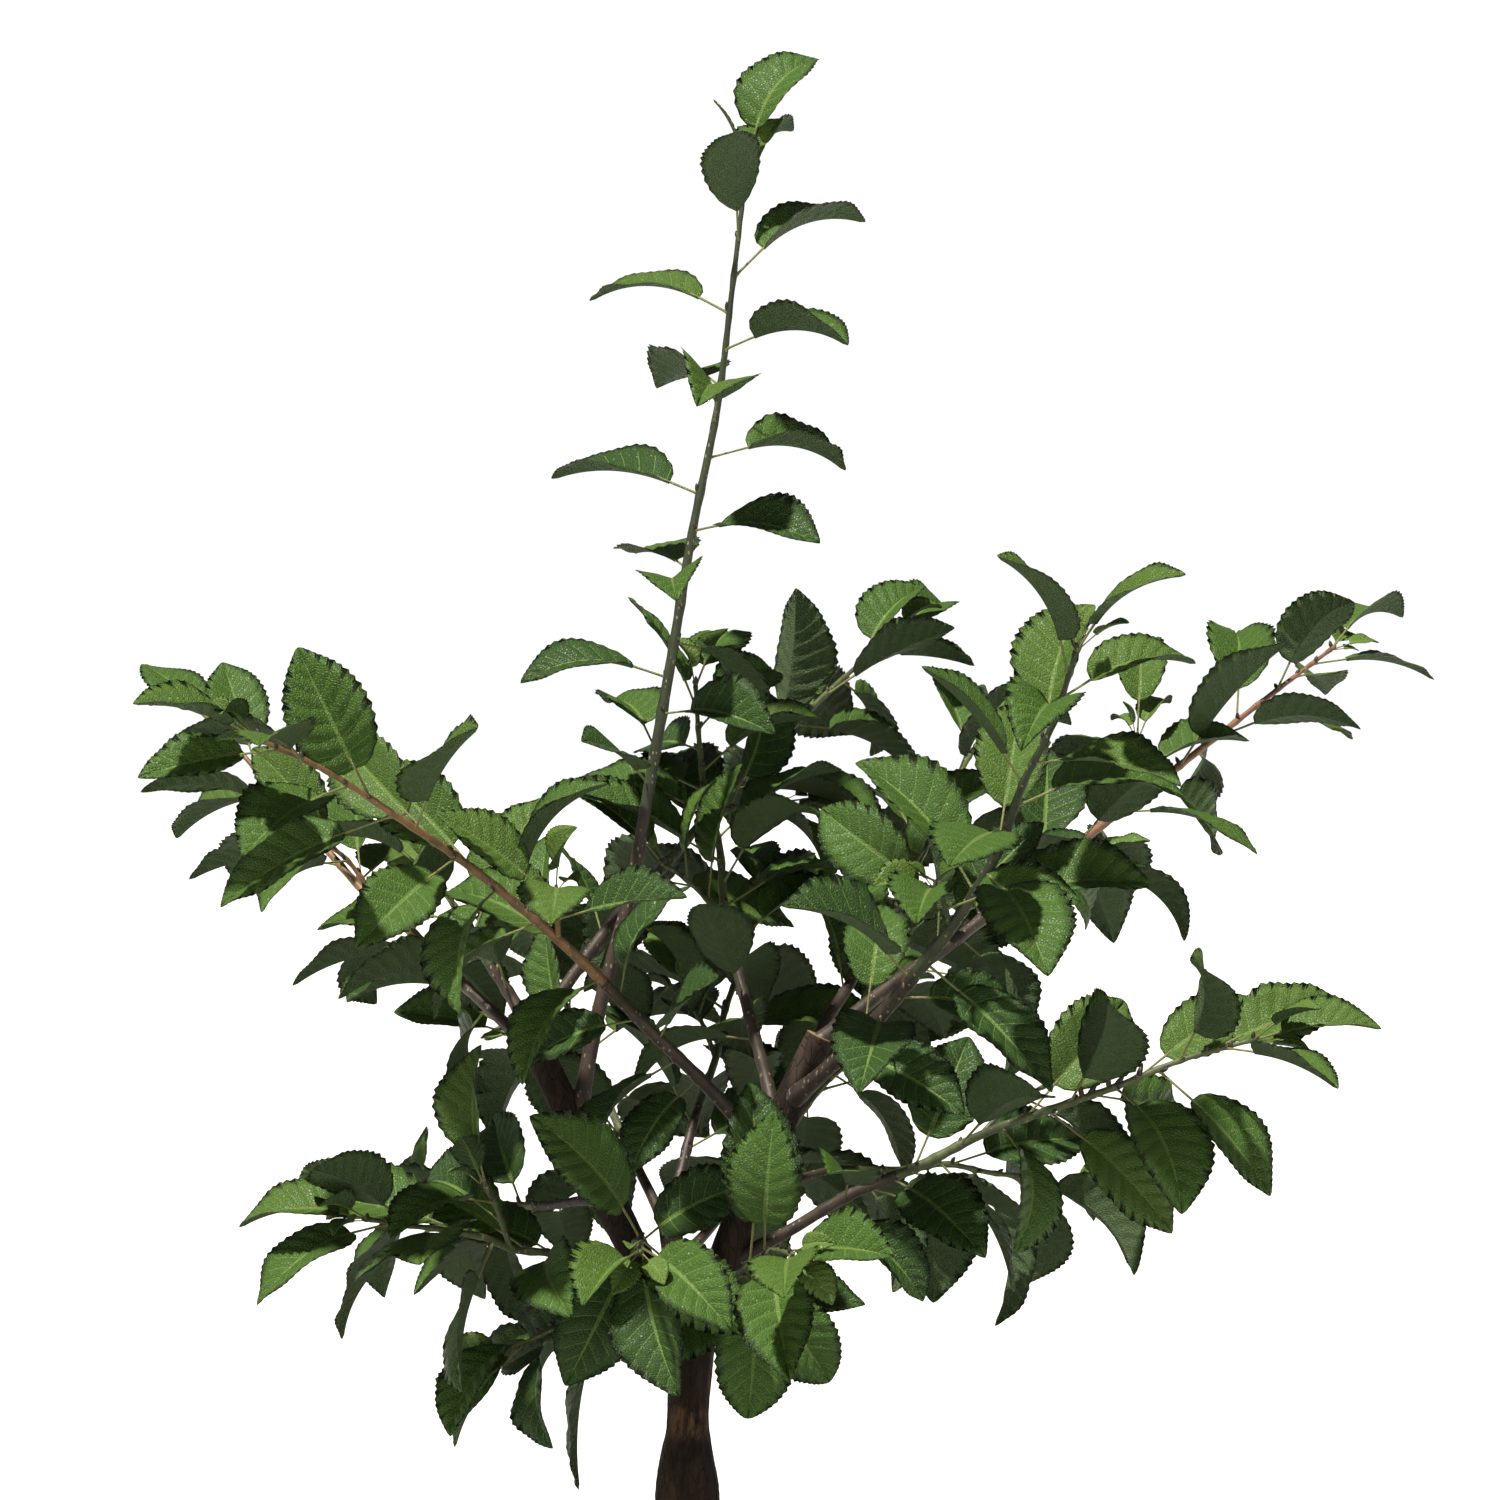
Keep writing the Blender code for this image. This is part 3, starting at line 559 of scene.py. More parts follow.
class Tree:
    """Grows the shoots one after another, each leaf and twig clear of everything before it."""

    def __init__(self, shoots, limbs):
        self.shoots = shoots
        self.crops = []
        for index, shoot in enumerate(shoots):
            foot, _ = on_path(limbs[shoot.carrier][0], shoot.at)
            path = bowed_path(foot, shoot.tip, shoot.bow, np.linspace(0.0, 1.0, STEM_POINTS))
            path = kinked(path, random.Random(shoot.seed))
            radii = np.linspace(shoot.girth, STEM_TIP_RADIUS, STEM_POINTS)
            self.crops.append(Crop(index, [(path, radii)]))
        self.limb_guards = [stem_guard(path, radii, 8) for path, radii in limbs.values()]
        self.stem_guards = [stem_guard(*crop.stems[0]) for crop in self.crops]
        self.leaf_guards = [[] for _ in shoots]

    def is_clear(self, index, whole, outer):
        """Whether a whole piece is clear of the limbs and other shoots, and its outer part of its own."""
        if any(whole.touches(guard) for guard in self.limb_guards):
            return False
        for number, stem in enumerate(self.stem_guards):
            piece = outer if number == index else whole
            if piece.touches(stem) or any(piece.touches(guard) for guard in self.leaf_guards[number]):
                return False
        return True

    def is_home(self, index, point):
        """Whether a point is nearer the stem of its own shoot than any other stem."""
        nearest = [np.linalg.norm(crop.stems[0][0] - point, axis=1).min() for crop in self.crops]
        return int(np.argmin(nearest)) == index

    def add_leaf(self, crop, draws, root, heading, azimuth, lean, size, droop, young=False):
        """Adds a leaf, turned round its stem or made smaller until it fits, or leaves it out."""
        state = draws.getstate()
        for share in SIZES_TRIED:
            for turn in TURNS_TRIED:
                draws.setstate(state)
                leaf = new_leaf(draws, root, heading, azimuth + turn, lean, size * share, droop)
                whole = Guard(*leaf_solid(leaf, spare=CLEARANCE))
                outer = Guard(*leaf_solid(leaf, with_stalk=False, spare=CLEARANCE))
                middle = midrib(leaf, np.array([0.5 * leaf.length]))[0][0]
                if self.is_home(crop.index, middle) and self.is_clear(crop.index, whole, outer):
                    (crop.young if young else crop.leaves).append(leaf)
                    self.leaf_guards[crop.index].append(outer)
                    return

    def add_twig(self, crop, draws, root, heading, azimuth):
        """Adds a side twig with leaves of its own, unless it would touch something."""
        spur = new_leaf(draws, root, heading, azimuth, TWIG_LEAN, 1.0, -TWIG_RISE)
        tip = root + spur.along * draws.uniform(*TWIG_LENGTHS)
        path = bowed_path(root, tip, TWIG_BOW, np.linspace(0.0, 1.0, TWIG_POINTS))
        radii = np.linspace(TWIG_RADIUS, STEM_TIP_RADIUS, TWIG_POINTS)
        outer = stem_guard(path[1:], radii[1:])
        if not self.is_clear(crop.index, outer, outer):
            return
        crop.stems.append((path, radii))
        self.leaf_guards[crop.index].append(outer)
        for number in range(1, TWIG_LEAVES + 1):
            point, onward = on_path(path, number / TWIG_LEAVES)
            lean = TWIG_END_LEAN if number == TWIG_LEAVES else STALK_LEAN
            azimuth = (number - 1) * DIVERGENCE
            self.add_leaf(crop, draws, point, onward, azimuth, lean, TWIG_LEAF_SIZE, TWIG_LEAF_DROOP)

    def grow(self, crop):
        """Sets leaves and side twigs round a shoot, two fifths of a turn on from one to the next."""
        shoot = self.shoots[crop.index]
        draws = random.Random(shoot.seed)
        first_azimuth = draws.uniform(0.0, 2.0 * math.pi)
        hand = draws.choice((-1, 1))
        twig_nodes = {round((k + 1) * shoot.leaves / (shoot.twigs + 2)) for k in range(shoot.twigs)}
        for number in range(shoot.leaves):
            step = number / (shoot.leaves - 1)
            point, heading = on_path(crop.stems[0][0], shoot.bare + (1.0 - shoot.bare) * step)
            azimuth = first_azimuth + hand * number * DIVERGENCE + draws.uniform(-AZIMUTH_SWAY, AZIMUTH_SWAY)
            closing = 1.0 - TIP_CLOSING[0] * step ** TIP_CLOSING[1]
            lifting = 1.0 - TIP_LIFTING[0] * step ** TIP_LIFTING[1]
            lean = STALK_LEAN * closing + draws.uniform(-LEAN_SWAY, LEAN_SWAY)
            droop = shoot.droop * lifting + draws.uniform(-DROOP_SWAY, DROOP_SWAY)
            size = (END_SIZE + MIDDLE_GAIN * math.sin(math.pi * step)) * draws.uniform(*SIZE_RANGE)
            if number in twig_nodes:
                self.add_twig(crop, draws, point, heading, azimuth)
            else:
                self.add_leaf(crop, draws, point, heading, azimuth, lean, size, droop)

    def grow_young(self, crop):
        """Sets small unfolding leaves at the tip of each stem, where the rule in the solids stops."""
        draws = random.Random(self.shoots[crop.index].seed + 1)
        for path, _ in crop.stems:
            point, heading = on_path(path, 1.0)
            azimuth = draws.uniform(0.0, 2.0 * math.pi)
            for number, size in enumerate(YOUNG_SIZES):
                turn = azimuth + number * DIVERGENCE
                self.add_leaf(crop, draws, point, heading, turn, YOUNG_LEAN, size, 0.0, young=True)


def limb_lines():
    """Centre lines and radii of the trunk and boughs, by name."""
    heights, radii = (np.array(column) for column in zip(*TRUNK_GIRTHS))
    lines = {"trunk": (bowed_path(TRUNK_FOOT, TRUNK_TIP, TRUNK_BOW, heights / heights[-1]), radii)}
    for limb in BOUGHS:
        path = bowed_path(limb.foot, limb.tip, limb.bow, np.linspace(0.0, 1.0, LIMB_POINTS))
        lines[limb.name] = path, np.linspace(limb.foot_radius, limb.tip_radius, LIMB_POINTS)
    return lines


@functools.lru_cache(maxsize=None)
def grown_crops():
    """The crops of all the shoots, grown once."""
    tree = Tree(SHOOTS, limb_lines())
    for crop in tree.crops:
        tree.grow(crop)
    for crop in tree.crops:
        tree.grow_young(crop)
    return tree.crops


class Wire:
    """A node's output that takes part in sums: each operation adds one Math node."""

    def __init__(self, graph, socket):
        self.graph = graph
        self.socket = socket

    def math(self, operation, *values):
        """A Math node of an operation on this output and further values."""
        inputs = dict(enumerate((self, *values)))
        return self.graph.node("ShaderNodeMath", {"operation": operation}, inputs)

    def __add__(self, other):
        return self.math("ADD", other)

    __radd__ = __add__

    def __mul__(self, other):
        return self.math("MULTIPLY", other)

    __rmul__ = __mul__

    def __sub__(self, other):
        return self.math("SUBTRACT", other)

    def __rsub__(self, other):
        return (self * -1.0) + other

    def ramp(self, low, high):
        """Nought at low, one at high, and smooth between."""
        settings = {"interpolation_type": "SMOOTHSTEP"}
        inputs = {"Value": self, "From Min": low, "From Max": high}
        return self.graph.node("ShaderNodeMapRange", settings, inputs)


class Graph:
    """The nodes of one material or world."""

    def __init__(self, owner):
        self.owner = owner
        owner.use_nodes = True
        self.tree = owner.node_tree

    def node(self, kind, settings=None, inputs=None, output=0):
        """A node of a kind with its settings, then the values or links of its inputs; gives one output."""
        node = self.tree.nodes.new(kind)
        for name, value in (settings or {}).items():
            setattr(node, name, value)
        for name, value in (inputs or {}).items():
            if isinstance(value, Wire):
                self.tree.links.new(value.socket, node.inputs[name])
            else:
                node.inputs[name].default_value = value
        return Wire(self, node.outputs[output])

    def place(self, scale=(1.0, 1.0, 1.0)):
        """Object coordinates, stretched along the axes."""
        place = self.node("ShaderNodeTexCoord", output="Object")
        return self.node("ShaderNodeMapping", {}, {"Vector": place, "Scale": scale})

    def noise(self, place, scale, detail=3.0, roughness=0.5):
        """A cloudy pattern from nought to one."""
        inputs = {"Vector": place, "Scale": scale, "Detail": detail, "Roughness": roughness}
        return self.node("ShaderNodeTexNoise", {}, inputs)

    def cells(self, place, scale, feature="DISTANCE_TO_EDGE"):
        """The distance to the nearest edge, or point, of a pattern of cells."""
        return self.node("ShaderNodeTexVoronoi", {"feature": feature}, {"Vector": place, "Scale": scale})

    def blend(self, share, first, second):
        """A colour that goes from the first to the second as share goes from nought to one."""
        first = first if isinstance(first, Wire) else (*first, 1.0)
        second = second if isinstance(second, Wire) else (*second, 1.0)
        return self.node("ShaderNodeMix", {"data_type": "RGBA"}, {0: share, 6: first, 7: second}, output=2)

    def near(self, point, radius):
        """One at a point in the object's space, and nought from a radius on."""
        place = self.node("ShaderNodeTexCoord", output="Object")
        inputs = {0: place, 1: point}
        away = self.node("ShaderNodeVectorMath", {"operation": "DISTANCE"}, inputs, output="Value")
        return away.ramp(radius, 0.4 * radius)

    def bump(self, height, distance):
        """A normal from a height pattern, in metres of relief."""
        return self.node("ShaderNodeBump", {}, {"Height": height, "Distance": distance, "Strength": 1.0})

    def finish(self, colour, roughness, normal=None, gloss=None):
        """Sets the shader's values, each plain or a wire where it varies, and gives the material."""
        shader = self.tree.nodes["Principled BSDF"]
        values = {"Base Color": colour, "Roughness": roughness, "Normal": normal,
                  "Specular IOR Level": gloss}
        for name, value in values.items():
            if isinstance(value, Wire):
                self.tree.links.new(value.socket, shader.inputs[name])
            elif value is not None:
                shader.inputs[name].default_value = (*value, 1.0) if name == "Base Color" else value
        if not isinstance(colour, Wire):
            self.owner.diffuse_color = (*colour, 1.0)
        return self.owner


def new_graph(name):
    """A new material's graph."""
    return Graph(bpy.data.materials.new(name))


@functools.lru_cache(maxsize=None)
def bark(name):
    """Dull bark: grey and brown clouds drawn out upwards, fine cracks, and pale worn and split patches."""
    settings = bpy.context.scene.wood_settings
    graph = new_graph(name)
    clouds = graph.noise(graph.place((1.0, 1.0, 0.35)), 55.0, 5.0, 0.6)
    cracks = graph.cells(graph.place((1.0, 1.0, 0.30)), 210.0).ramp(0.0, 0.12)
    grain = graph.noise(graph.place(), 700.0, 4.0, 0.65)
    colour = graph.blend(clouds.ramp(0.36, 0.66), settings.bark_dark, settings.bark_light)
    colour = graph.blend((1.0 - cracks) * 0.55, colour, CRACK_COLOUR)
    colour = graph.blend(grain.ramp(0.55, 0.75) * 0.35, colour, GRAIN_COLOUR)
    for point, radius, (low, high), strength, patch in BARK_PATCHES:
        share = graph.near(point, radius) * clouds.ramp(low, high)
        colour = graph.blend(share * strength, colour, patch)
    height = clouds * 0.6 + cracks * 0.5 + grain * 0.25
    return graph.finish(colour, 0.72 + 0.2 * grain, graph.bump(height, 0.0009), gloss=0.2)


@functools.lru_cache(maxsize=None)
def rind(name, colour, shade):
    """Smooth young bark: a faint mottle, pale pores and a slight sheen."""
    graph = new_graph(name)
    mottle = graph.noise(graph.place((1.0, 1.0, 0.4)), 160.0, 4.0, 0.6)
    pores = graph.cells(graph.place((1.0, 1.0, 0.6)), 260.0, "F1").ramp(0.24, 0.14)
    mixed = graph.blend(mottle.ramp(0.35, 0.68), colour, shade)
    mixed = graph.blend(pores * 0.5, mixed, PORE_COLOUR)
    return graph.finish(mixed, 0.42 + 0.2 * mottle, graph.bump(mottle + pores, 0.0004))


@functools.lru_cache(maxsize=None)
def cut_wood(name, colour):
    """Sawn wood: a dark and light grain, and fine saw marks drawn out along Y."""
    graph = new_graph(name)
    grain = graph.noise(graph.place(), 420.0, 3.0, 0.6)
    marks = graph.noise(graph.place((1.0, 0.2, 3.0)), 900.0, 2.0)
    dark = tuple(0.45 * part for part in colour)
    mixed = graph.blend(grain.ramp(0.4, 0.65), colour, dark)
    return graph.finish(mixed, 0.75 + 0.15 * marks, graph.bump(grain + marks, 0.0003))


def leaf_skin(name, colour, roughness, relief):
    """One leaf tint: a plain colour whose gloss and fine cell relief vary over the blade."""
    graph = new_graph(name)
    cells = graph.cells(graph.place(), 620.0)
    clouds = graph.noise(graph.place(), 90.0, 3.0, 0.6)
    height = cells.ramp(0.0, 0.25) + clouds
    return graph.finish(colour, roughness - 0.07 + 0.14 * clouds, graph.bump(height, relief), gloss=0.36)


def earth(name, colour, light, scale):
    """Crumbly soil: dark and light clouds, with grains a ninth of their size in the relief."""
    graph = new_graph(name)
    clouds = graph.noise(graph.place(), scale, 6.0, 0.65)
    grains = graph.cells(graph.place(), 9.0 * scale, "F1")
    mixed = graph.blend(clouds.ramp(0.38, 0.68), colour, light)
    return graph.finish(mixed, 0.88 + 0.1 * clouds, graph.bump(clouds + 0.5 * grains, 0.002))


def plastic(name):
    """Moulded black plastic: a fine matt grain, with dust that is thicker low down."""
    graph = new_graph(name)
    place = graph.place()
    grain = graph.noise(place, 1500.0, 2.0)
    dust = graph.noise(place, 26.0, 6.0, 0.7)
    height = graph.node("ShaderNodeSeparateXYZ", {}, {"Vector": place}, output="Z")
    low = height.ramp(0.055, 0.0)
    share = (0.18 + 0.6 * low) * dust.ramp(0.46, 0.74)
    colour = graph.blend(share, bpy.context.scene.pot_settings.colour, DUST_COLOUR)
    roughness = 0.34 + 0.16 * grain + 0.35 * share
    return graph.finish(colour, roughness, graph.bump(grain, 0.00012))


class Mould:
    """Gathers one piece's surfaces: points, faces of three or four corners, and a slot for each face."""

    def __init__(self):
        self.points = []
        self.faces = {3: [], 4: []}
        self.slots = {3: [], 4: []}
        self.count = 0

    def add(self, points, faces, slots=0):
        """Adds points with arrays of faces; slots are one for all, or by the faces' number of corners."""
        for array in faces:
            corners = array.shape[1]
            dealt = slots[corners] if isinstance(slots, dict) else slots
            self.faces[corners].append(array + self.count)
            self.slots[corners].append(np.broadcast_to(dealt, len(array)))
        self.points.append(points)
        self.count += len(points)

    def piece(self, name, materials, slot, nodes=()):
        """Makes the piece at the origin: it rides on the body and stands for CAD nodes; slot is not used."""
        mesh = bpy.data.meshes.new(name)
        points = np.concatenate(self.points)
        faces = {corners: np.concatenate(arrays) for corners, arrays in self.faces.items() if arrays}
        slots = np.concatenate([np.concatenate(self.slots[corners]) for corners in faces])
        sizes = np.concatenate([np.full(len(array), corners) for corners, array in faces.items()])
        loops = np.concatenate([array.ravel() for array in faces.values()])
        mesh.vertices.add(len(points))
        mesh.vertices.foreach_set("co", points.ravel())
        mesh.loops.add(len(loops))
        mesh.loops.foreach_set("vertex_index", loops)
        mesh.polygons.add(len(sizes))
        mesh.polygons.foreach_set("loop_start", np.cumsum(sizes) - sizes)
        mesh.polygons.foreach_set("material_index", slots)
        mesh.update(calc_edges=True)
        mesh.validate()
        mesh.shade_smooth()
        for material in materials:
            mesh.materials.append(material)
        piece = bpy.data.objects.new(name, mesh)
        bpy.context.scene.collection.objects.link(piece)
        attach(piece, BODY)
        if nodes:
            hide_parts(*nodes)
        return piece


def grid_faces(rows, columns, wrap=False):
    """Quads over a grid of points, joined round from the last column to the first where wrap is set."""
    index = np.arange(rows * columns).reshape(rows, columns)
    return sheet_faces(np.hstack([index, index[:, :1]]) if wrap else index).reshape(-1, 4)


def sheet_faces(index):
    """Quads between neighbours in a grid of point numbers."""
    return np.stack([index[:-1, :-1], index[:-1, 1:], index[1:, 1:], index[1:, :-1]], axis=-1)


def fan_faces(ring, centre, turned):
    """Triangles from a ring of points to one centre point."""
    after = np.roll(ring, -1)
    pairs = (after, ring) if turned else (ring, after)
    return np.stack([*pairs, np.full(len(ring), centre)], axis=-1)


def capped(rings, start, end):
    """A closed surface: quads over rings of points, and triangles from its end rings to two end points."""
    count, sides = rings.shape[:2]
    total = count * sides
    caps = [fan_faces(np.arange(sides), total, True),
            fan_faces(np.arange(total - sides, total), total + 1, False)]
    points = np.vstack([rings.reshape(-1, 3), start, end])
    return points, [grid_faces(count, sides, wrap=True), np.vstack(caps)]


def tube(path, radii, sides, relief=None):
    """A closed tube: rings of points at the radii, times one plus relief(angle, run), round a path."""
    spokes, angles = spokes_of(path, sides)
    swell = np.ones((len(path), sides))
    if relief:
        steps = np.linalg.norm(np.diff(path, axis=0), axis=1)
        run = np.concatenate([[0.0], np.cumsum(steps)])
        swell = swell + relief(angles[None, :], run[:, None])
    rings = path[:, None] + spokes * (radii[:, None] * swell)[..., None]
    return capped(rings, path[0], path[-1])


def turned_surface(profile, sides):
    """A turned surface: a profile of (radius, height) points carried round the axis, pole to pole."""
    radius, height = (np.array(column) for column in zip(*profile))
    angles = 2.0 * math.pi * np.arange(sides) / sides
    out, level = radius[1:-1, None], np.repeat(height[1:-1, None], sides, axis=1)
    rings = np.stack([out * np.cos(angles), out * np.sin(angles), level], axis=-1)
    return capped(rings, (0.0, 0.0, height[0]), (0.0, 0.0, height[-1]))


def arc(centre, radius, start, end, count):
    """Points on a circle's arc in the profile plane, between two angles in degrees."""
    angles = np.radians(np.linspace(start, end, count))
    return [(centre[0] + radius * math.cos(a), centre[1] + radius * math.sin(a)) for a in angles]


def waves(seed, count, turns, pitch, power):
    """Relief as a sum of sine waves, each with its own whole turns round a limb and pitch along it."""
    draws = np.random.default_rng(seed)
    across = draws.integers(turns[0], turns[1] + 1, count)
    onward = draws.uniform(pitch[0], pitch[1], count) * draws.choice((-1, 1), count)
    phase = draws.uniform(0.0, 2.0 * math.pi, count)

    def relief(angle, run):
        parts = np.sin(across * angle[..., None] + onward * run[..., None] + phase)
        return power * parts.sum(axis=-1) / math.sqrt(count)

    return relief


def smooth_path(path, radii, count):
    """A smooth curve through a path's points, with its radii: a Catmull-Rom curve of count points."""
    path = np.column_stack([path, radii])
    padded = np.vstack([2 * path[0] - path[1], path, 2 * path[-1] - path[-2]])
    place = np.linspace(0.0, len(path) - 1, count)
    before = np.minimum(place.astype(int), len(path) - 2)
    t = (place - before)[:, None]
    p0, p1, p2, p3 = (padded[before + k] for k in range(4))
    curve = 0.5 * (2 * p1 + (p2 - p0) * t + (2 * p0 - 5 * p1 + 4 * p2 - p3) * t ** 2
                   + (3 * p1 - p0 - 3 * p2 + p3) * t ** 3)
    return curve[:, :3], curve[:, 3]


def blade_width(share):
    """Half the breadth at shares of the blade's length: a broad oval that narrows to a short point."""
    oval = np.clip(4.0 * share * (1.0 - share), 0.0, 1.0) ** OVAL_POWER
    return oval * (1.0 + FOOT_GAIN * (0.5 - share)) * (1.0 - TIP_LOSS * share ** 6)


def ridge(away, reach):
    """A smooth ridge along the midrib: one on it, and soon nought away from it."""
    return np.exp(-(away / reach) ** 2)


class LeafPattern:
    """The grid that every drawn leaf shares: rows along its side veins, columns across, and its faces."""

    BLADE, VEIN, UNDER, UNDER_VEIN = range(4)

    def __init__(self):
        """Lays two rows along each side vein and three up to the next, then the teeth and the faces."""
        roots = (np.arange(VEINS) + VEIN_START) / (VEINS + VEIN_START)
        gap = 1.0 / (VEINS + VEIN_START)
        between = [roots + share * gap for share in ROWS_BETWEEN]
        rows = np.stack([roots - VEIN_STRIP, roots + VEIN_STRIP, *between], axis=1)
        rows = np.concatenate([[FIRST_ROW], rows.ravel()])
        self.rows = rows[rows < LAST_ROW]
        count, wide = len(self.rows), len(COLUMNS)
        self.bulge = np.sin(math.pi * ((self.rows - roots[0]) / gap % 1.0)) ** 2
        self.bulge[self.rows < roots[0]] = 0.0
        self.teeth = TOOTH * np.concatenate([[FIRST_TOOTH], np.resize(TEETH, count - 1)])
        top = np.arange(count * wide).reshape(count, wide)
        inner = count * wide + np.arange(count * (wide - 2)).reshape(count, wide - 2)
        under = np.hstack([top[:, :1], inner, top[:, -1:]])
        point = count * wide + inner.size
        top_quads, top_tips, top_kinds = self.lay(top, point, self.BLADE, self.VEIN)
        low_quads, low_tips, low_kinds = self.lay(under, point, self.UNDER, self.UNDER_VEIN)
        upper, lower = top[0], under[0]
        foot = np.stack([upper[1:], lower[1:], lower[:-1], upper[:-1]], axis=-1)[1:-1]
        ends = [(upper[1], lower[1], upper[0]), (upper[-1], lower[-2], upper[-2])]
        self.faces = [np.vstack([top_tips[:, ::-1], low_tips, ends]),
                      np.vstack([top_quads[:, ::-1], low_quads, foot])]
        tips = np.repeat((self.BLADE, self.UNDER, self.VEIN), (len(top_tips), len(low_tips), len(ends)))
        self.kinds = {3: tips, 4: np.concatenate([top_kinds, low_kinds, np.full(len(foot), self.VEIN)])}

    def lay(self, index, point, plain, vein):
        """The quads and tip triangles of one side of the blade, and whether each quad is plain or vein."""
        quads = sheet_faces(index)
        kinds = np.full(quads.shape[:2], plain)
        strips = np.isclose(np.diff(self.rows), 2.0 * VEIN_STRIP)
        kinds[strips, 1:-1] = vein
        middle = len(COLUMNS) // 2
        kinds[:, middle - 1:middle + 1] = vein
        last = index[-1]
        tips = np.stack([last[:-1], last[1:], np.full(len(last) - 1, point)], axis=-1)
        return quads.reshape(-1, 4), tips, kinds.ravel()

    def points(self, leaf, draws):
        """The points of one leaf.

        A row leaves the midrib at its share of the length and sweeps forward to the margin. Across it the
        blade rises by its fold and cup, bulges between the veins, and waves towards the margin.
        """
        rows, columns = self.rows[:, None], COLUMNS[None, :]
        away = np.abs(columns)
        sweep = VEIN_SWEEP * rows * (1.0 - rows)
        share = rows + sweep * away ** SWEEP_POWER
        wide = blade_width(rows + sweep) * (1.0 + self.teeth[:, None] * away ** 6)
        across = columns * wide * leaf.breadth / 2.0
        across = across + np.sign(columns) * STALK_RADIUS * (1.0 - rows)
        scale = leaf.length / BLADE_LENGTH
        cup, ruffle, pucker = (draws.uniform(*span) for span in (CUP_RANGE, RUFFLE_RANGE, PUCKER_RANGE))
        beats, phases = draws.uniform(*RUFFLE_BEATS, 2), draws.uniform(0.0, 2.0 * math.pi, 2)
        beat = np.where(columns < 0.0, beats[0], beats[1])
        phase = np.where(columns < 0.0, phases[0], phases[1])
        wave = away ** 3 * np.sin(2.0 * math.pi * beat * rows + phase) * wide
        height = np.abs(across) * math.sin(leaf.fold)
        height = height + cup * away ** 2 * wide * leaf.breadth / 2.0
        height = height + self.bulge[:, None] * 4.0 * away * (1.0 - away) * PUCKER * pucker * scale
        height = height + RUFFLE * scale * ruffle * wave
        height = height - MIDRIB_SINK * scale * ridge(away, 0.10)
        thick = LEAF_THICKNESS * (1.0 - away ** 2) + MIDRIB_DEPTH * ridge(away, 0.03) * (1.0 - rows)
        reach = (share + POINT_STRETCH * share ** 20) / (1.0 + POINT_STRETCH) * leaf.length
        centre, side, normal = midrib(leaf, reach.ravel())
        flat = across.ravel()[:, None] * math.cos(leaf.fold)
        top = centre + side * flat + normal * height.ravel()[:, None]
        under = (top - normal * thick.ravel()[:, None]).reshape(*share.shape, 3)[:, 1:-1]
        tip = midrib(leaf, np.array([leaf.length]))[0]
        return np.vstack([top, under.reshape(-1, 3), tip])


def stalk_tube(leaf):
    """A leaf's stalk: a thin tube that swells at the stem and runs a little way under the blade."""
    reach = np.append(np.array(STALK_STATIONS) * leaf.stalk, STALK_RUN * leaf.length)
    radii = STALK_RADIUS * np.array(STALK_GIRTHS) * math.sqrt(leaf.length / BLADE_LENGTH)
    centre, _, normal = midrib(leaf, reach)
    return tube(centre - normal * STALK_RADIUS * 0.5, radii, STALK_SIDES)


def bud(point, heading, length, breadth):
    """A pointed bud: a spindle whose radius is a sine of its length, leaning along a heading."""
    shares = np.linspace(0.0, 1.0, BUD_RINGS)
    path = point + np.asarray(heading)[None] * (shares * length)[:, None]
    radii = breadth * np.sin(math.pi * (0.12 + 0.86 * shares)) ** 0.8
    return tube(path, radii, BUD_SIDES)


def colour_setting(name, description, default):
    """A colour that the panel can set."""
    return FloatVectorProperty(name=name, description=description, subtype="COLOR", size=3,
                               min=0.0, max=1.0, default=default)


class WoodSettings(bpy.types.PropertyGroup):
    """Sizes and colours of the bark."""

    bark_dark: colour_setting("Dark bark", "Colour of the darker bark", (0.014, 0.009, 0.007))
    bark_light: colour_setting("Light bark", "Colour of the paler bark", (0.060, 0.040, 0.027))
    relief: FloatProperty(name="Relief", description="Swelling of the bark, as a share of the limb's radius",
                          subtype="FACTOR", min=0.0, max=0.3, default=0.045)
    sides: IntProperty(name="Sides", description="Points round the trunk", min=12, max=200, default=72)


class LeafSettings(bpy.types.PropertyGroup):
    """Colours of the leaves."""

    # The old leaves' own darker green, darkened further as painted shade for the leaves inside the crown
    old_and_shade: colour_setting("Deep green", "Old leaves", (0.030, 0.074, 0.010))
    middle: colour_setting("Middle green", "Most leaves", (0.058, 0.126, 0.015))
    fresh: colour_setting("Fresh green", "Younger leaves", (0.078, 0.148, 0.020))
    young: colour_setting("Young green", "Unfolding leaves", (0.105, 0.180, 0.030))
    under: colour_setting("Underside", "Undersides of the leaves", (0.066, 0.108, 0.038))
    vein: colour_setting("Vein", "Midrib and side veins", (0.125, 0.205, 0.040))
    stalk: colour_setting("Stalk", "Leaf stalks", (0.210, 0.225, 0.080))


class PotSettings(bpy.types.PropertyGroup):
    """Sizes and colour of the pot, and how much is strewn on its soil."""

    colour: colour_setting("Plastic", "Colour of the pot", (0.016, 0.016, 0.017))
    sides: IntProperty(name="Sides", description="Points round the pot", min=24, max=360, default=192)
    crumbs: IntProperty(name="Crumbs", description="Crumbs and chips on the soil",
                        min=0, max=4000, default=1500)


class StageSettings(bpy.types.PropertyGroup):
    """Light round the tree."""

    sun: FloatProperty(name="Sun", description="Strength of the main light", min=0.0, max=20.0, default=6.0)
    sky: FloatProperty(name="Sky", description="Strength of the soft light from all round",
                       min=0.0, max=5.0, default=0.12)


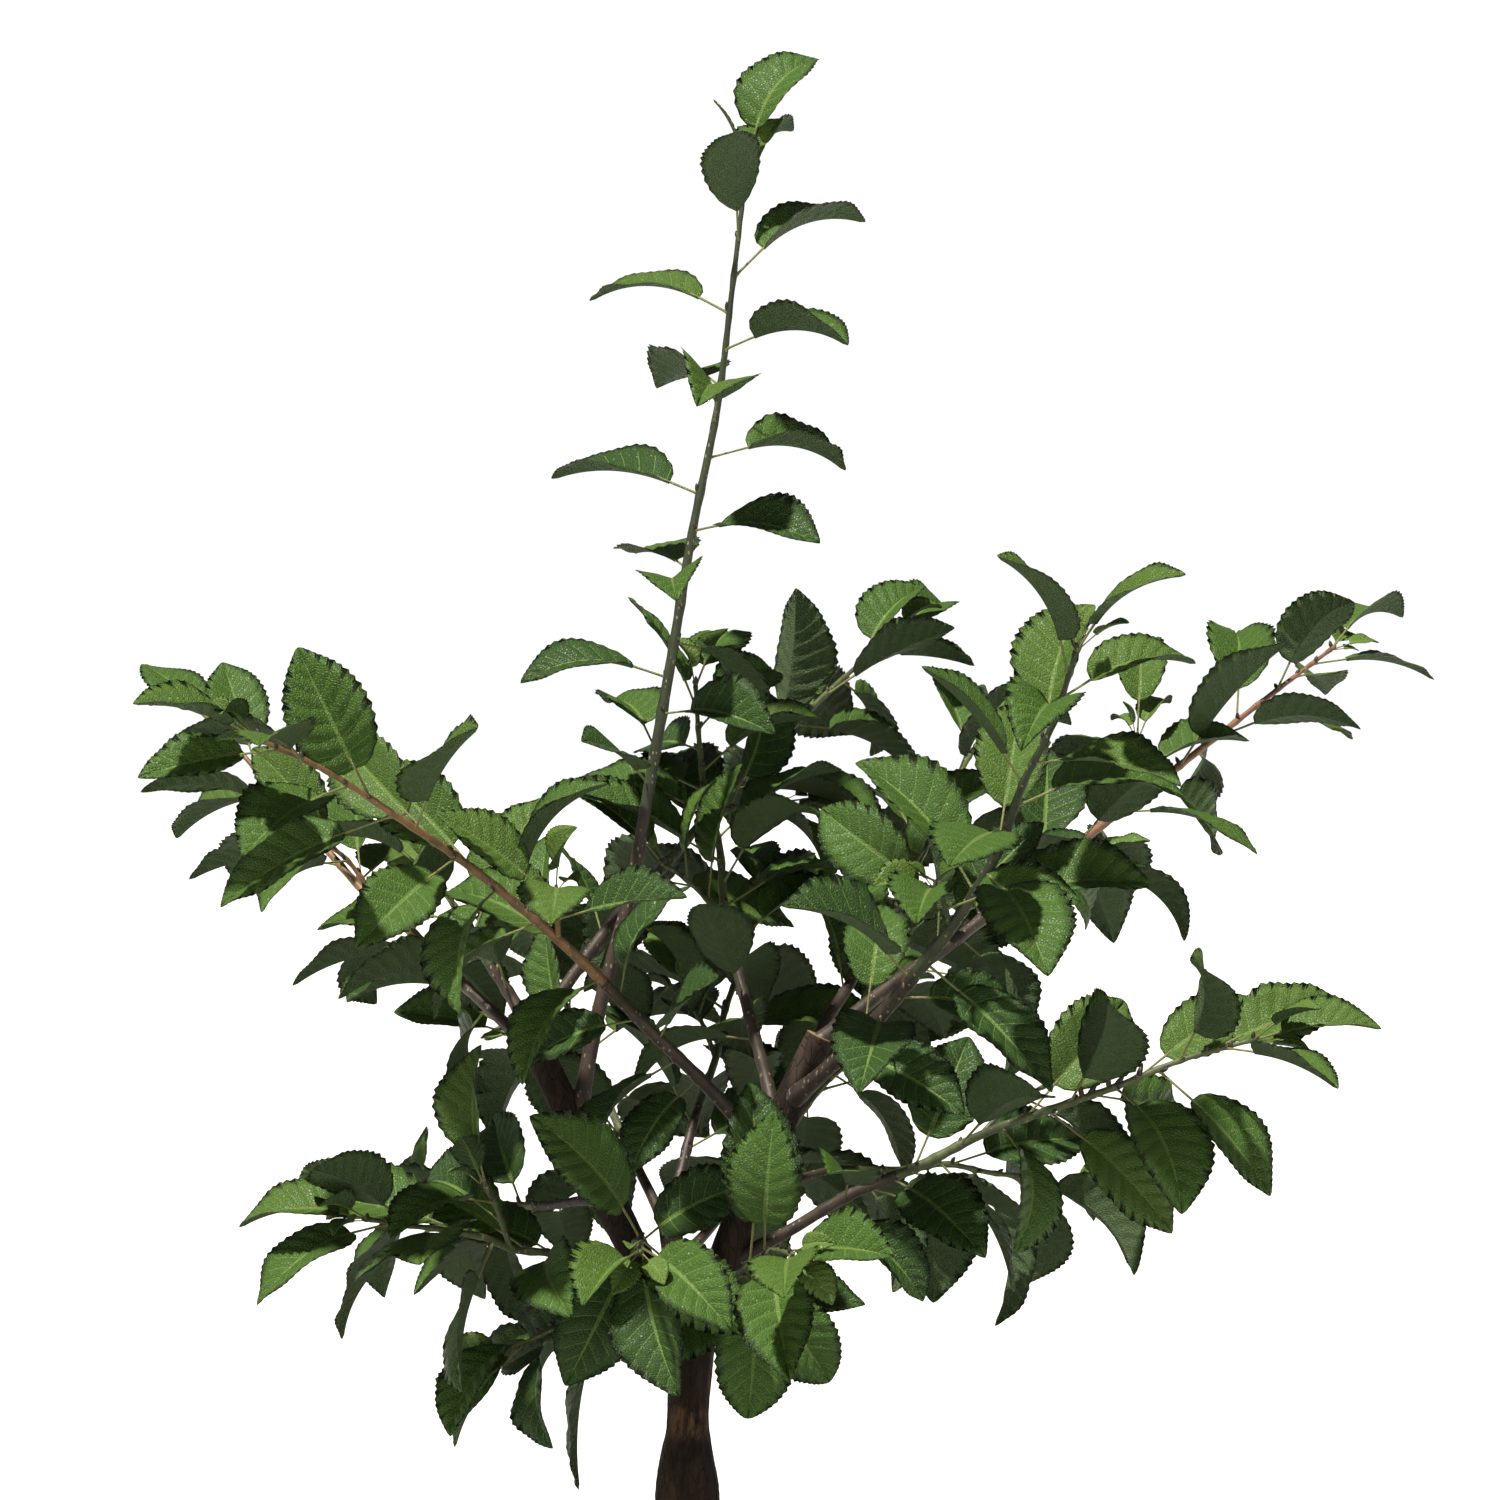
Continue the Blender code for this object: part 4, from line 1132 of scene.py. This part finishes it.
class AddPot(bpy.types.Operator):
    """Adds the pot: a turned wall with a rolled rim, a band below it, a rounded foot and drain holes"""

    bl_idname = "potted_tree.pot"
    bl_label = "Pot"

    def execute(self, context):
        mould = Mould()
        mould.add(*turned_surface(self.profile(), context.scene.pot_settings.sides))
        pot = mould.piece("pot_skin", [plastic("black_plastic_skin")], "black_plastic", ["pot"])
        self.drill(pot)
        return {"FINISHED"}

    @staticmethod
    def profile():
        """The pot's outline as (radius, height): under the foot, up the wall, over the rim, down inside."""
        under_rim = POT_HEIGHT - RIM_DEPTH
        band = under_rim - BAND_DROP
        inner = POT_TOP_RADIUS - POT_WALL
        slope = (POT_TOP_RADIUS - POT_FOOT_RADIUS) / (under_rim - FOOT_ROUND)

        def wall(height):
            return POT_FOOT_RADIUS + slope * (height - FOOT_ROUND)

        profile = [(0.0, 0.0), (POT_FOOT_RADIUS - 0.030, 0.0), (POT_FOOT_RADIUS - 0.006, 0.0)]
        profile += arc((POT_FOOT_RADIUS - FOOT_ROUND, FOOT_ROUND), FOOT_ROUND, -90, -5, 6)
        profile += [(wall(height), height) for height in np.linspace(0.010, under_rim - 0.060, 8)]
        profile += [(wall(band) + out, band + up) for out, up in BAND]
        profile += [(POT_TOP_RADIUS + out, under_rim + up) for out, up in RIM_NECK]
        profile += arc((LIP_RADIUS - RIM_ROUND, under_rim + RIM_ROUND), RIM_ROUND, -90, 0, 5)
        profile += arc((LIP_RADIUS - LIP_ROUND, POT_HEIGHT - LIP_ROUND), LIP_ROUND, 0, 90, 6)
        profile += arc((inner + LIP_ROUND, POT_HEIGHT - LIP_ROUND), LIP_ROUND, 90, 180, 6)
        profile += [(inner - 0.006, POT_HEIGHT - 0.045), (POT_FOOT_RADIUS - POT_WALL, POT_FLOOR)]
        return profile + [(0.0, POT_FLOOR)]

    @staticmethod
    def drill(pot):
        """Cuts the drain holes with short cylinders lying round the foot."""
        shape = bmesh.new()
        for number in range(DRAIN_HOLES):
            angle = 2.0 * math.pi * (number + 0.5) / DRAIN_HOLES
            foot = Matrix.Translation((POT_FOOT_RADIUS, 0.0, DRAIN_HEIGHT))
            lying = Matrix.Rotation(angle, 4, "Z") @ foot @ Matrix.Rotation(math.pi / 2.0, 4, "Y")
            bmesh.ops.create_cone(shape, cap_ends=True, segments=24, radius1=DRAIN_RADIUS,
                                  radius2=DRAIN_RADIUS, depth=0.03, matrix=lying)
        mesh = bpy.data.meshes.new("drills")
        shape.to_mesh(mesh)
        shape.free()
        drills = bpy.data.objects.new("drills", mesh)
        bpy.context.scene.collection.objects.link(drills)
        cut = pot.modifiers.new("Drains", "BOOLEAN")
        cut.operation = "DIFFERENCE"
        cut.solver = "EXACT"
        cut.object = drills
        graph = bpy.context.evaluated_depsgraph_get()
        drilled = bpy.data.meshes.new_from_object(pot.evaluated_get(graph))
        pot.modifiers.clear()
        pot.data = drilled
        drilled.set_sharp_from_angle(angle=math.radians(35.0))
        bpy.data.objects.remove(drills)


class AddSoil(bpy.types.Operator):
    """Adds the soil: a lumpy surface that rises to the trunk, with crumbs and bark chips strewn over it"""

    bl_idname = "potted_tree.soil"
    bl_label = "Soil"

    def execute(self, context):
        self.add_surface()
        self.strew(context.scene.pot_settings.crumbs)
        return {"FINISHED"}

    def add_surface(self):
        """Adds the lumpy surface over rings that widen to the wall, closed by a flat underside."""
        rings, sides = SOIL_RINGS
        radius = np.linspace(SOIL_EYE, SOIL_RADIUS, rings)[:, None]
        angles = 2.0 * math.pi * np.arange(sides)[None, :] / sides
        x, y = radius * np.cos(angles), radius * np.sin(angles)
        top = np.stack([x, y, self.height(x, y)], axis=-1)
        base = (0.0, 0.0, SOIL_TOP - SOIL_DEPTH)
        lower = top[-1:] * (0.97, 0.97, 0.0) + base
        mould = Mould()
        points, faces = capped(np.concatenate([top, lower]), top[0, 0], base)
        mould.add(points, [array[:, ::-1] for array in faces])
        skin = earth("soil_earth", (0.020, 0.012, 0.008), (0.085, 0.054, 0.034), 60.0)
        soil = mould.piece("soil_surface", [skin], "potting_soil", ["soil"])
        close_up(soil.data)

    @staticmethod
    def height(x, y):
        """The soil's height: a mound at the trunk, long swells, short lumps, and a sink at the wall."""
        away = np.hypot(x, y)
        draws = np.random.default_rng(SWELL_SEED)
        height = MOUND * np.exp(-(away / MOUND_REACH) ** 2)
        for wavelength, power in SWELLS:
            for _ in range(SWELL_WAVES):
                turn, phase = draws.uniform(0.0, 2.0 * math.pi, 2)
                pitch = 2.0 * math.pi / wavelength * draws.uniform(0.75, 1.3)
                along = x * math.cos(turn) + y * math.sin(turn)
                height = height + power / SWELL_DIVISOR * np.sin(pitch * along + phase)
        wall_share = np.clip((away - SOIL_RADIUS + WALL_SINK_REACH) / WALL_SINK_REACH, 0.0, 1.0)
        return SOIL_TOP - SURFACE_DROP + height - WALL_SINK * wall_share ** 2

    def strew(self, count):
        """Strews crumbs: small eight-sided lumps, some drawn out into chips, each turned at random."""
        draws = np.random.default_rng(CRUMB_SEED)
        distance = SOIL_RADIUS * 0.97 * np.sqrt(draws.uniform(0.03, 1.0, count))
        angle = draws.uniform(0.0, 2.0 * math.pi, count)
        centres = np.stack([distance * np.cos(angle), distance * np.sin(angle)], axis=-1)
        heights = self.height(centres[:, 0], centres[:, 1])
        ball = np.array([(1, 0, 0), (0, 1, 0), (-1, 0, 0), (0, -1, 0), (0, 0, 1), (0, 0, -1)], float)
        ring = np.arange(4)
        faces = np.vstack([fan_faces(ring, 4, False), fan_faces(ring, 5, True)])
        size = draws.uniform(*CRUMB_SIZES, (count, 1, 1)) * draws.uniform(0.6, 1.2, (count, 6, 1))
        stretch = np.where(draws.uniform(size=(count, 1)) < CHIP_SHARE, CHIP_STRETCH, 1.0)
        squash = 0.6 / np.sqrt(stretch)
        form = ball[None] * size * np.stack([stretch, np.ones_like(stretch), squash], axis=-1)
        turn = draws.uniform(0.0, 2.0 * math.pi, (count, 1))
        tilt = draws.uniform(-0.5, 0.5, (count, 1))
        x = form[..., 0] * np.cos(turn) - form[..., 1] * np.sin(turn)
        y = form[..., 0] * np.sin(turn) + form[..., 1] * np.cos(turn)
        z = form[..., 2] + form[..., 0] * tilt
        points = np.stack([x + centres[:, :1], y + centres[:, 1:], z + heights[:, None] + 0.0006], axis=-1)
        index = (faces[None] + 6 * np.arange(count)[:, None, None]).reshape(-1, 3)
        slots = np.repeat(np.where(stretch[:, 0] > 1.0, 1, draws.integers(0, 2, count) * 2), len(faces))
        mould = Mould()
        mould.add(points.reshape(-1, 3), [index], {3: slots})
        skins = [earth("crumb_earth", (0.028, 0.017, 0.011), (0.070, 0.045, 0.030), 200.0),
                 earth("chip_bark", (0.075, 0.040, 0.022), (0.190, 0.115, 0.065), 150.0),
                 earth("dark_crumb", (0.012, 0.008, 0.006), (0.035, 0.023, 0.016), 200.0)]
        mould.piece("soil_crumbs", skins, "potting_soil").data.shade_flat()


def close_up(mesh):
    """Joins the doubled points of a mesh and points its faces outwards."""
    shape = bmesh.new()
    shape.from_mesh(mesh)
    bmesh.ops.remove_doubles(shape, verts=shape.verts, dist=1e-7)
    bmesh.ops.recalc_face_normals(shape, faces=shape.faces)
    shape.to_mesh(mesh)
    shape.free()


class AddLimbs(bpy.types.Operator):
    """Adds the trunk and boughs: tubes with swells, ridges and fine lines in the bark, and cut tops"""

    bl_idname = "potted_tree.limbs"
    bl_label = "Trunk and boughs"

    def execute(self, context):
        settings = context.scene.wood_settings
        skins = [bark("bark_skin"), cut_wood("sawn_top", (0.36, 0.19, 0.085))]
        for number, (name, (path, radii)) in enumerate(limb_lines().items()):
            if name == "trunk":
                path, radii = self.trunk_rings(path, radii)
                sides = settings.sides
            else:
                path, radii = smooth_path(path, radii, BOUGH_RINGS)
                sides = settings.sides * 2 // 3
            layers = [waves(seed + number, count, turns, pitch, share * settings.relief)
                      for seed, count, turns, pitch, share in BARK_WAVES]

            def relief(angle, run):
                return sum(layer(angle, run) for layer in layers)

            mould = Mould()
            mould.add(*tube(path, radii, sides, relief), {3: np.repeat((0, 1), sides), 4: 0})
            mould.piece(f"{name}_bark", skins, "bark", [name])
        return {"FINISHED"}

    @staticmethod
    def trunk_rings(path, radii):
        """Close rings up the trunk from its flat cut, with the radius smoothed between the named girths."""
        smooth, girth = smooth_path(path, radii, TRUNK_STEPS)
        height = np.linspace(TRUNK_CUT, smooth[-1, 2], TRUNK_RINGS)
        columns = [np.interp(height, smooth[:, 2], smooth[:, k]) for k in range(2)]
        return np.column_stack([*columns, height]), np.interp(height, smooth[:, 2], girth)


class AddShoots(bpy.types.Operator):
    """Adds the shoots: stems that swell at each node, side twigs, and buds in the leaf axils"""

    bl_idname = "potted_tree.shoots"
    bl_label = "Shoots"

    def execute(self, context):
        for crop in grown_crops():
            shoot = SHOOTS[crop.index]
            draws = np.random.default_rng(shoot.seed)
            mould = Mould()
            for number, (path, radii) in enumerate(crop.stems):
                self.add_stem(mould, crop, path, radii, number == 0)
            for leaf in crop.leaves:
                base = leaf.root + leaf.along * 0.0016
                onward = unit(leaf.along * 0.45 + leaf.face)
                mould.add(*bud(base, onward, draws.uniform(*BUD_LENGTHS), BUD_RADIUS))
            for path, _ in crop.stems:
                mould.add(*bud(path[-1], on_path(path, 1.0)[1], *END_BUD), 1)
            names = ("brown_rind", RINDS.get(shoot.name, "green_rind"))
            skins = [rind(name, *RIND_COLOURS[name]) for name in names]
            mould.piece(f"twigs_{shoot.name}", skins, "bark", [f"foliage_{shoot.name}"])
        return {"FINISHED"}

    @staticmethod
    def add_stem(mould, crop, path, radii, is_main):
        """Adds one stem, thicker at its foot and where each leaf stands, brown below and coloured above."""
        count = STEM_RINGS if is_main else TWIG_RINGS
        path, radii = smooth_path(path, radii, count)
        for leaf in crop.leaves:
            away = np.linalg.norm(path - leaf.root, axis=1)
            radii = radii + NODE_SWELL * np.exp(-(away / NODE_REACH) ** 2)
        if is_main:
            away = np.linalg.norm(path - path[0], axis=1)
            radii = radii * (1.0 + COLLAR_SWELL * np.exp(-(away / COLLAR_REACH) ** 2))
        points, faces = tube(path, radii, STEM_SIDES)
        brown = int(BROWN_SHARE * count) * STEM_SIDES if is_main else 0
        slots = np.where(np.arange(len(faces[0])) < brown, 0, 1)
        mould.add(points, faces, {3: np.repeat((0, 1), STEM_SIDES), 4: slots})


class AddLeaves(bpy.types.Operator):
    """Adds the leaves of each shoot: puckered, toothed blades with pale veins, on thin stalks"""

    bl_idname = "potted_tree.leaves"
    bl_label = "Leaves"

    def execute(self, context):
        settings = context.scene.leaf_settings
        pattern = LeafPattern()
        skins = [leaf_skin(f"leaf_{name}", getattr(settings, name), roughness, relief)
                 for name, roughness, relief in LEAF_SKINS]
        old_and_shade, middle, fresh, young, under, vein, stalk = range(len(LEAF_SKINS))
        for crop in grown_crops():
            shoot = SHOOTS[crop.index]
            draws = np.random.default_rng(shoot.seed)
            mould = Mould()
            tinted = [(leaf, young) for leaf in crop.young]
            count = max(len(crop.leaves) - 1, 1)
            # The first leaves of each shoot, inside the crown, mostly take the darkest tint: partly their
            # own older green, partly painted shade
            for number, leaf in enumerate(crop.leaves):
                age = number / count + draws.normal(0.0, TINT_SPREAD)
                tinted.append((leaf, old_and_shade if age < OLD_AND_SHADE_UP_TO else middle if age < FRESH_FROM else fresh))
            for leaf, tint in tinted:
                table = np.array((tint, vein, under, vein if tint == young else under))
                kinds = {corners: table[kinds] for corners, kinds in pattern.kinds.items()}
                mould.add(pattern.points(leaf, draws), pattern.faces, kinds)
                mould.add(*stalk_tube(leaf), stalk)
            mould.piece(f"leaves_{shoot.name}", skins, "leaves", [f"foliage_{shoot.name}"])
        return {"FINISHED"}


class AddMarks(bpy.types.Operator):
    """Adds the small marks: sawn spots at the fork, dead spurs on a shoot, and one dead red leaf"""

    bl_idname = "potted_tree.marks"
    bl_label = "Marks"

    def execute(self, context):
        crops = {SHOOTS[crop.index].name: crop for crop in grown_crops()}
        self.add_sawn_spots()
        self.add_spurs(crops["right_low"].stems[0][0])
        self.add_dead_leaf(crops["far_left"].stems[0][0])
        return {"FINISHED"}

    @staticmethod
    def add_sawn_spots():
        """Adds short stubs at the fork: tubes that narrow to a sawn face."""
        spots = Mould()
        for point, onward, radius in SAWN_SPOTS:
            path = np.array(point) + unit(onward) * np.linspace(-0.006, 0.002, len(SPOT_GIRTHS))[:, None]
            stub = tube(path, radius * np.array(SPOT_GIRTHS), SPOT_SIDES)
            spots.add(*stub, {3: np.repeat((0, 1), SPOT_SIDES), 4: 0})
        spots.piece("sawn_spots", [bark("bark_skin"), cut_wood("sawn_spot", (0.42, 0.27, 0.13))], "bark")

    @staticmethod
    def add_spurs(path):
        """Adds dead spurs along a stem, as bare buds that stand up from it."""
        spurs = Mould()
        for share, lean in DEAD_SPURS:
            point, heading = on_path(path, share)
            onward = unit(np.array((lean, -0.25, 1.0)) + 0.3 * heading)
            spurs.add(*bud(point - onward * 0.001, onward, *SPUR_SIZE))
        spurs.piece("dead_spurs", [rind("dead_wood", (0.070, 0.028, 0.020), (0.030, 0.016, 0.012))], "bark")

    @staticmethod
    def add_dead_leaf(path):
        """Adds the dead leaf: a small blade that is bent, twisted and folded hard, hanging under a stem."""
        along = unit((-0.25, -0.35, -1.0))
        face = square_to((0.3, -1.0, 0.2), along)
        scrap = Leaf(root=on_path(path, 0.75)[0], along=along, side=np.cross(face, along), face=face,
                     stalk=0.010, length=0.024, breadth=0.016, arch=2.4, twist=1.1, fold=0.75)
        pattern, mould = LeafPattern(), Mould()
        mould.add(pattern.points(scrap, np.random.default_rng(3)), pattern.faces)
        mould.add(*stalk_tube(scrap))
        mould.piece("dead_leaf", [leaf_skin("dead_red", (0.090, 0.010, 0.012), 0.6, 0.0006)], "leaves")


class AddStage(bpy.types.Operator):
    """Adds the floor, the soft sky, the main light and the photograph's camera"""

    bl_idname = "potted_tree.stage"
    bl_label = "Stage"

    def execute(self, context):
        settings = context.scene.stage_settings
        scene = context.scene
        self.add_floor()
        self.add_sky(scene, settings.sky)
        sun = bpy.data.lights.new("sun", "SUN")
        sun.energy = settings.sun
        sun.angle = SUN_SPREAD
        sun.color = SUN_COLOUR
        lamp = bpy.data.objects.new("sun", sun)
        lamp.rotation_euler = Vector(SUN_HEADING).to_track_quat("-Z", "Y").to_euler()
        scene.collection.objects.link(lamp)
        camera = bpy.data.cameras.new("camera")
        camera.lens = CAMERA_LENS
        camera.sensor_width = 36.0
        camera.clip_end = 200.0
        holder = bpy.data.objects.new("camera", camera)
        holder.location = CAMERA_PLACE
        holder.rotation_euler = (math.pi / 2.0, 0.0, 0.0)
        scene.collection.objects.link(holder)
        scene.camera = holder
        scene.view_settings.view_transform = "Standard"
        scene.view_settings.look = "None"
        return {"FINISHED"}

    @staticmethod
    def add_floor():
        """The floor: a wide disc, grey round the pot and paler further off."""
        radii = np.concatenate([[0.0], np.geomspace(0.2, FLOOR_RADIUS, 24)])
        top = [(radius, -0.001) for radius in radii[::-1]]
        points, faces = turned_surface([(0.0, -0.05), (FLOOR_RADIUS, -0.05), *top], 96)
        mesh = bpy.data.meshes.new("floor")
        mesh.from_pydata(points.tolist(), [], [tuple(face) for array in faces for face in array.tolist()])
        graph = new_graph("pale_floor")
        place = graph.place((1.0, 1.0, 0.0))
        away = graph.node("ShaderNodeVectorMath", {"operation": "LENGTH"}, {0: place}, output="Value")
        colour = graph.blend(away.ramp(*FLOOR_FADE), *FLOOR_COLOURS)
        mesh.materials.append(graph.finish(colour, 0.85))
        floor = bpy.data.objects.new("floor", mesh)
        bpy.context.scene.collection.objects.link(floor)

    @staticmethod
    def add_sky(scene, strength):
        """The sky: white where it is seen, and a soft light on everything else."""
        scene.world = bpy.data.worlds.new("sky")
        graph = Graph(scene.world)
        seen = graph.node("ShaderNodeLightPath", output="Is Camera Ray")
        light, white = (graph.node("ShaderNodeBackground", {}, {"Color": colour, "Strength": power})
                        for colour, power in ((SKY_COLOUR, strength), (WHITE, WHITE_STRENGTH)))
        mixed = graph.node("ShaderNodeMixShader", {}, {0: seen, 1: light, 2: white})
        graph.tree.links.new(mixed.socket, graph.tree.nodes["World Output"].inputs["Surface"])


class TreePanel(bpy.types.Panel):
    """The tree's settings, and a button for each group of pieces"""

    bl_idname = "VIEW3D_PT_potted_tree"
    bl_label = "Potted fruit tree"
    bl_space_type = "VIEW_3D"
    bl_region_type = "UI"
    bl_category = "Tree"

    def draw(self, context):
        for group, kind in SETTINGS.items():
            box = self.layout.box()
            for name in kind.__annotations__:
                box.prop(getattr(context.scene, group), name)
        for operator in OPERATORS:
            self.layout.operator(operator.bl_idname)


SETTINGS = {
    "wood_settings": WoodSettings,
    "leaf_settings": LeafSettings,
    "pot_settings": PotSettings,
    "stage_settings": StageSettings,
}
OPERATORS = (AddPot, AddSoil, AddLimbs, AddShoots, AddLeaves, AddMarks, AddStage)
CLASSES = (*SETTINGS.values(), *OPERATORS, TreePanel)


def register():
    """Registers the classes and hangs their settings on the scene."""
    for kind in CLASSES:
        bpy.utils.register_class(kind)
    for group, kind in SETTINGS.items():
        setattr(bpy.types.Scene, group, PointerProperty(type=kind))


def unregister():
    """Takes the settings and the classes away again."""
    for group in SETTINGS:
        delattr(bpy.types.Scene, group)
    for kind in reversed(CLASSES):
        bpy.utils.unregister_class(kind)


def main():
    """Runs every operator in order."""
    register()
    for operator in OPERATORS:
        group, name = operator.bl_idname.split(".")
        getattr(getattr(bpy.ops, group), name)()


if __name__ == "__main__":
    main()
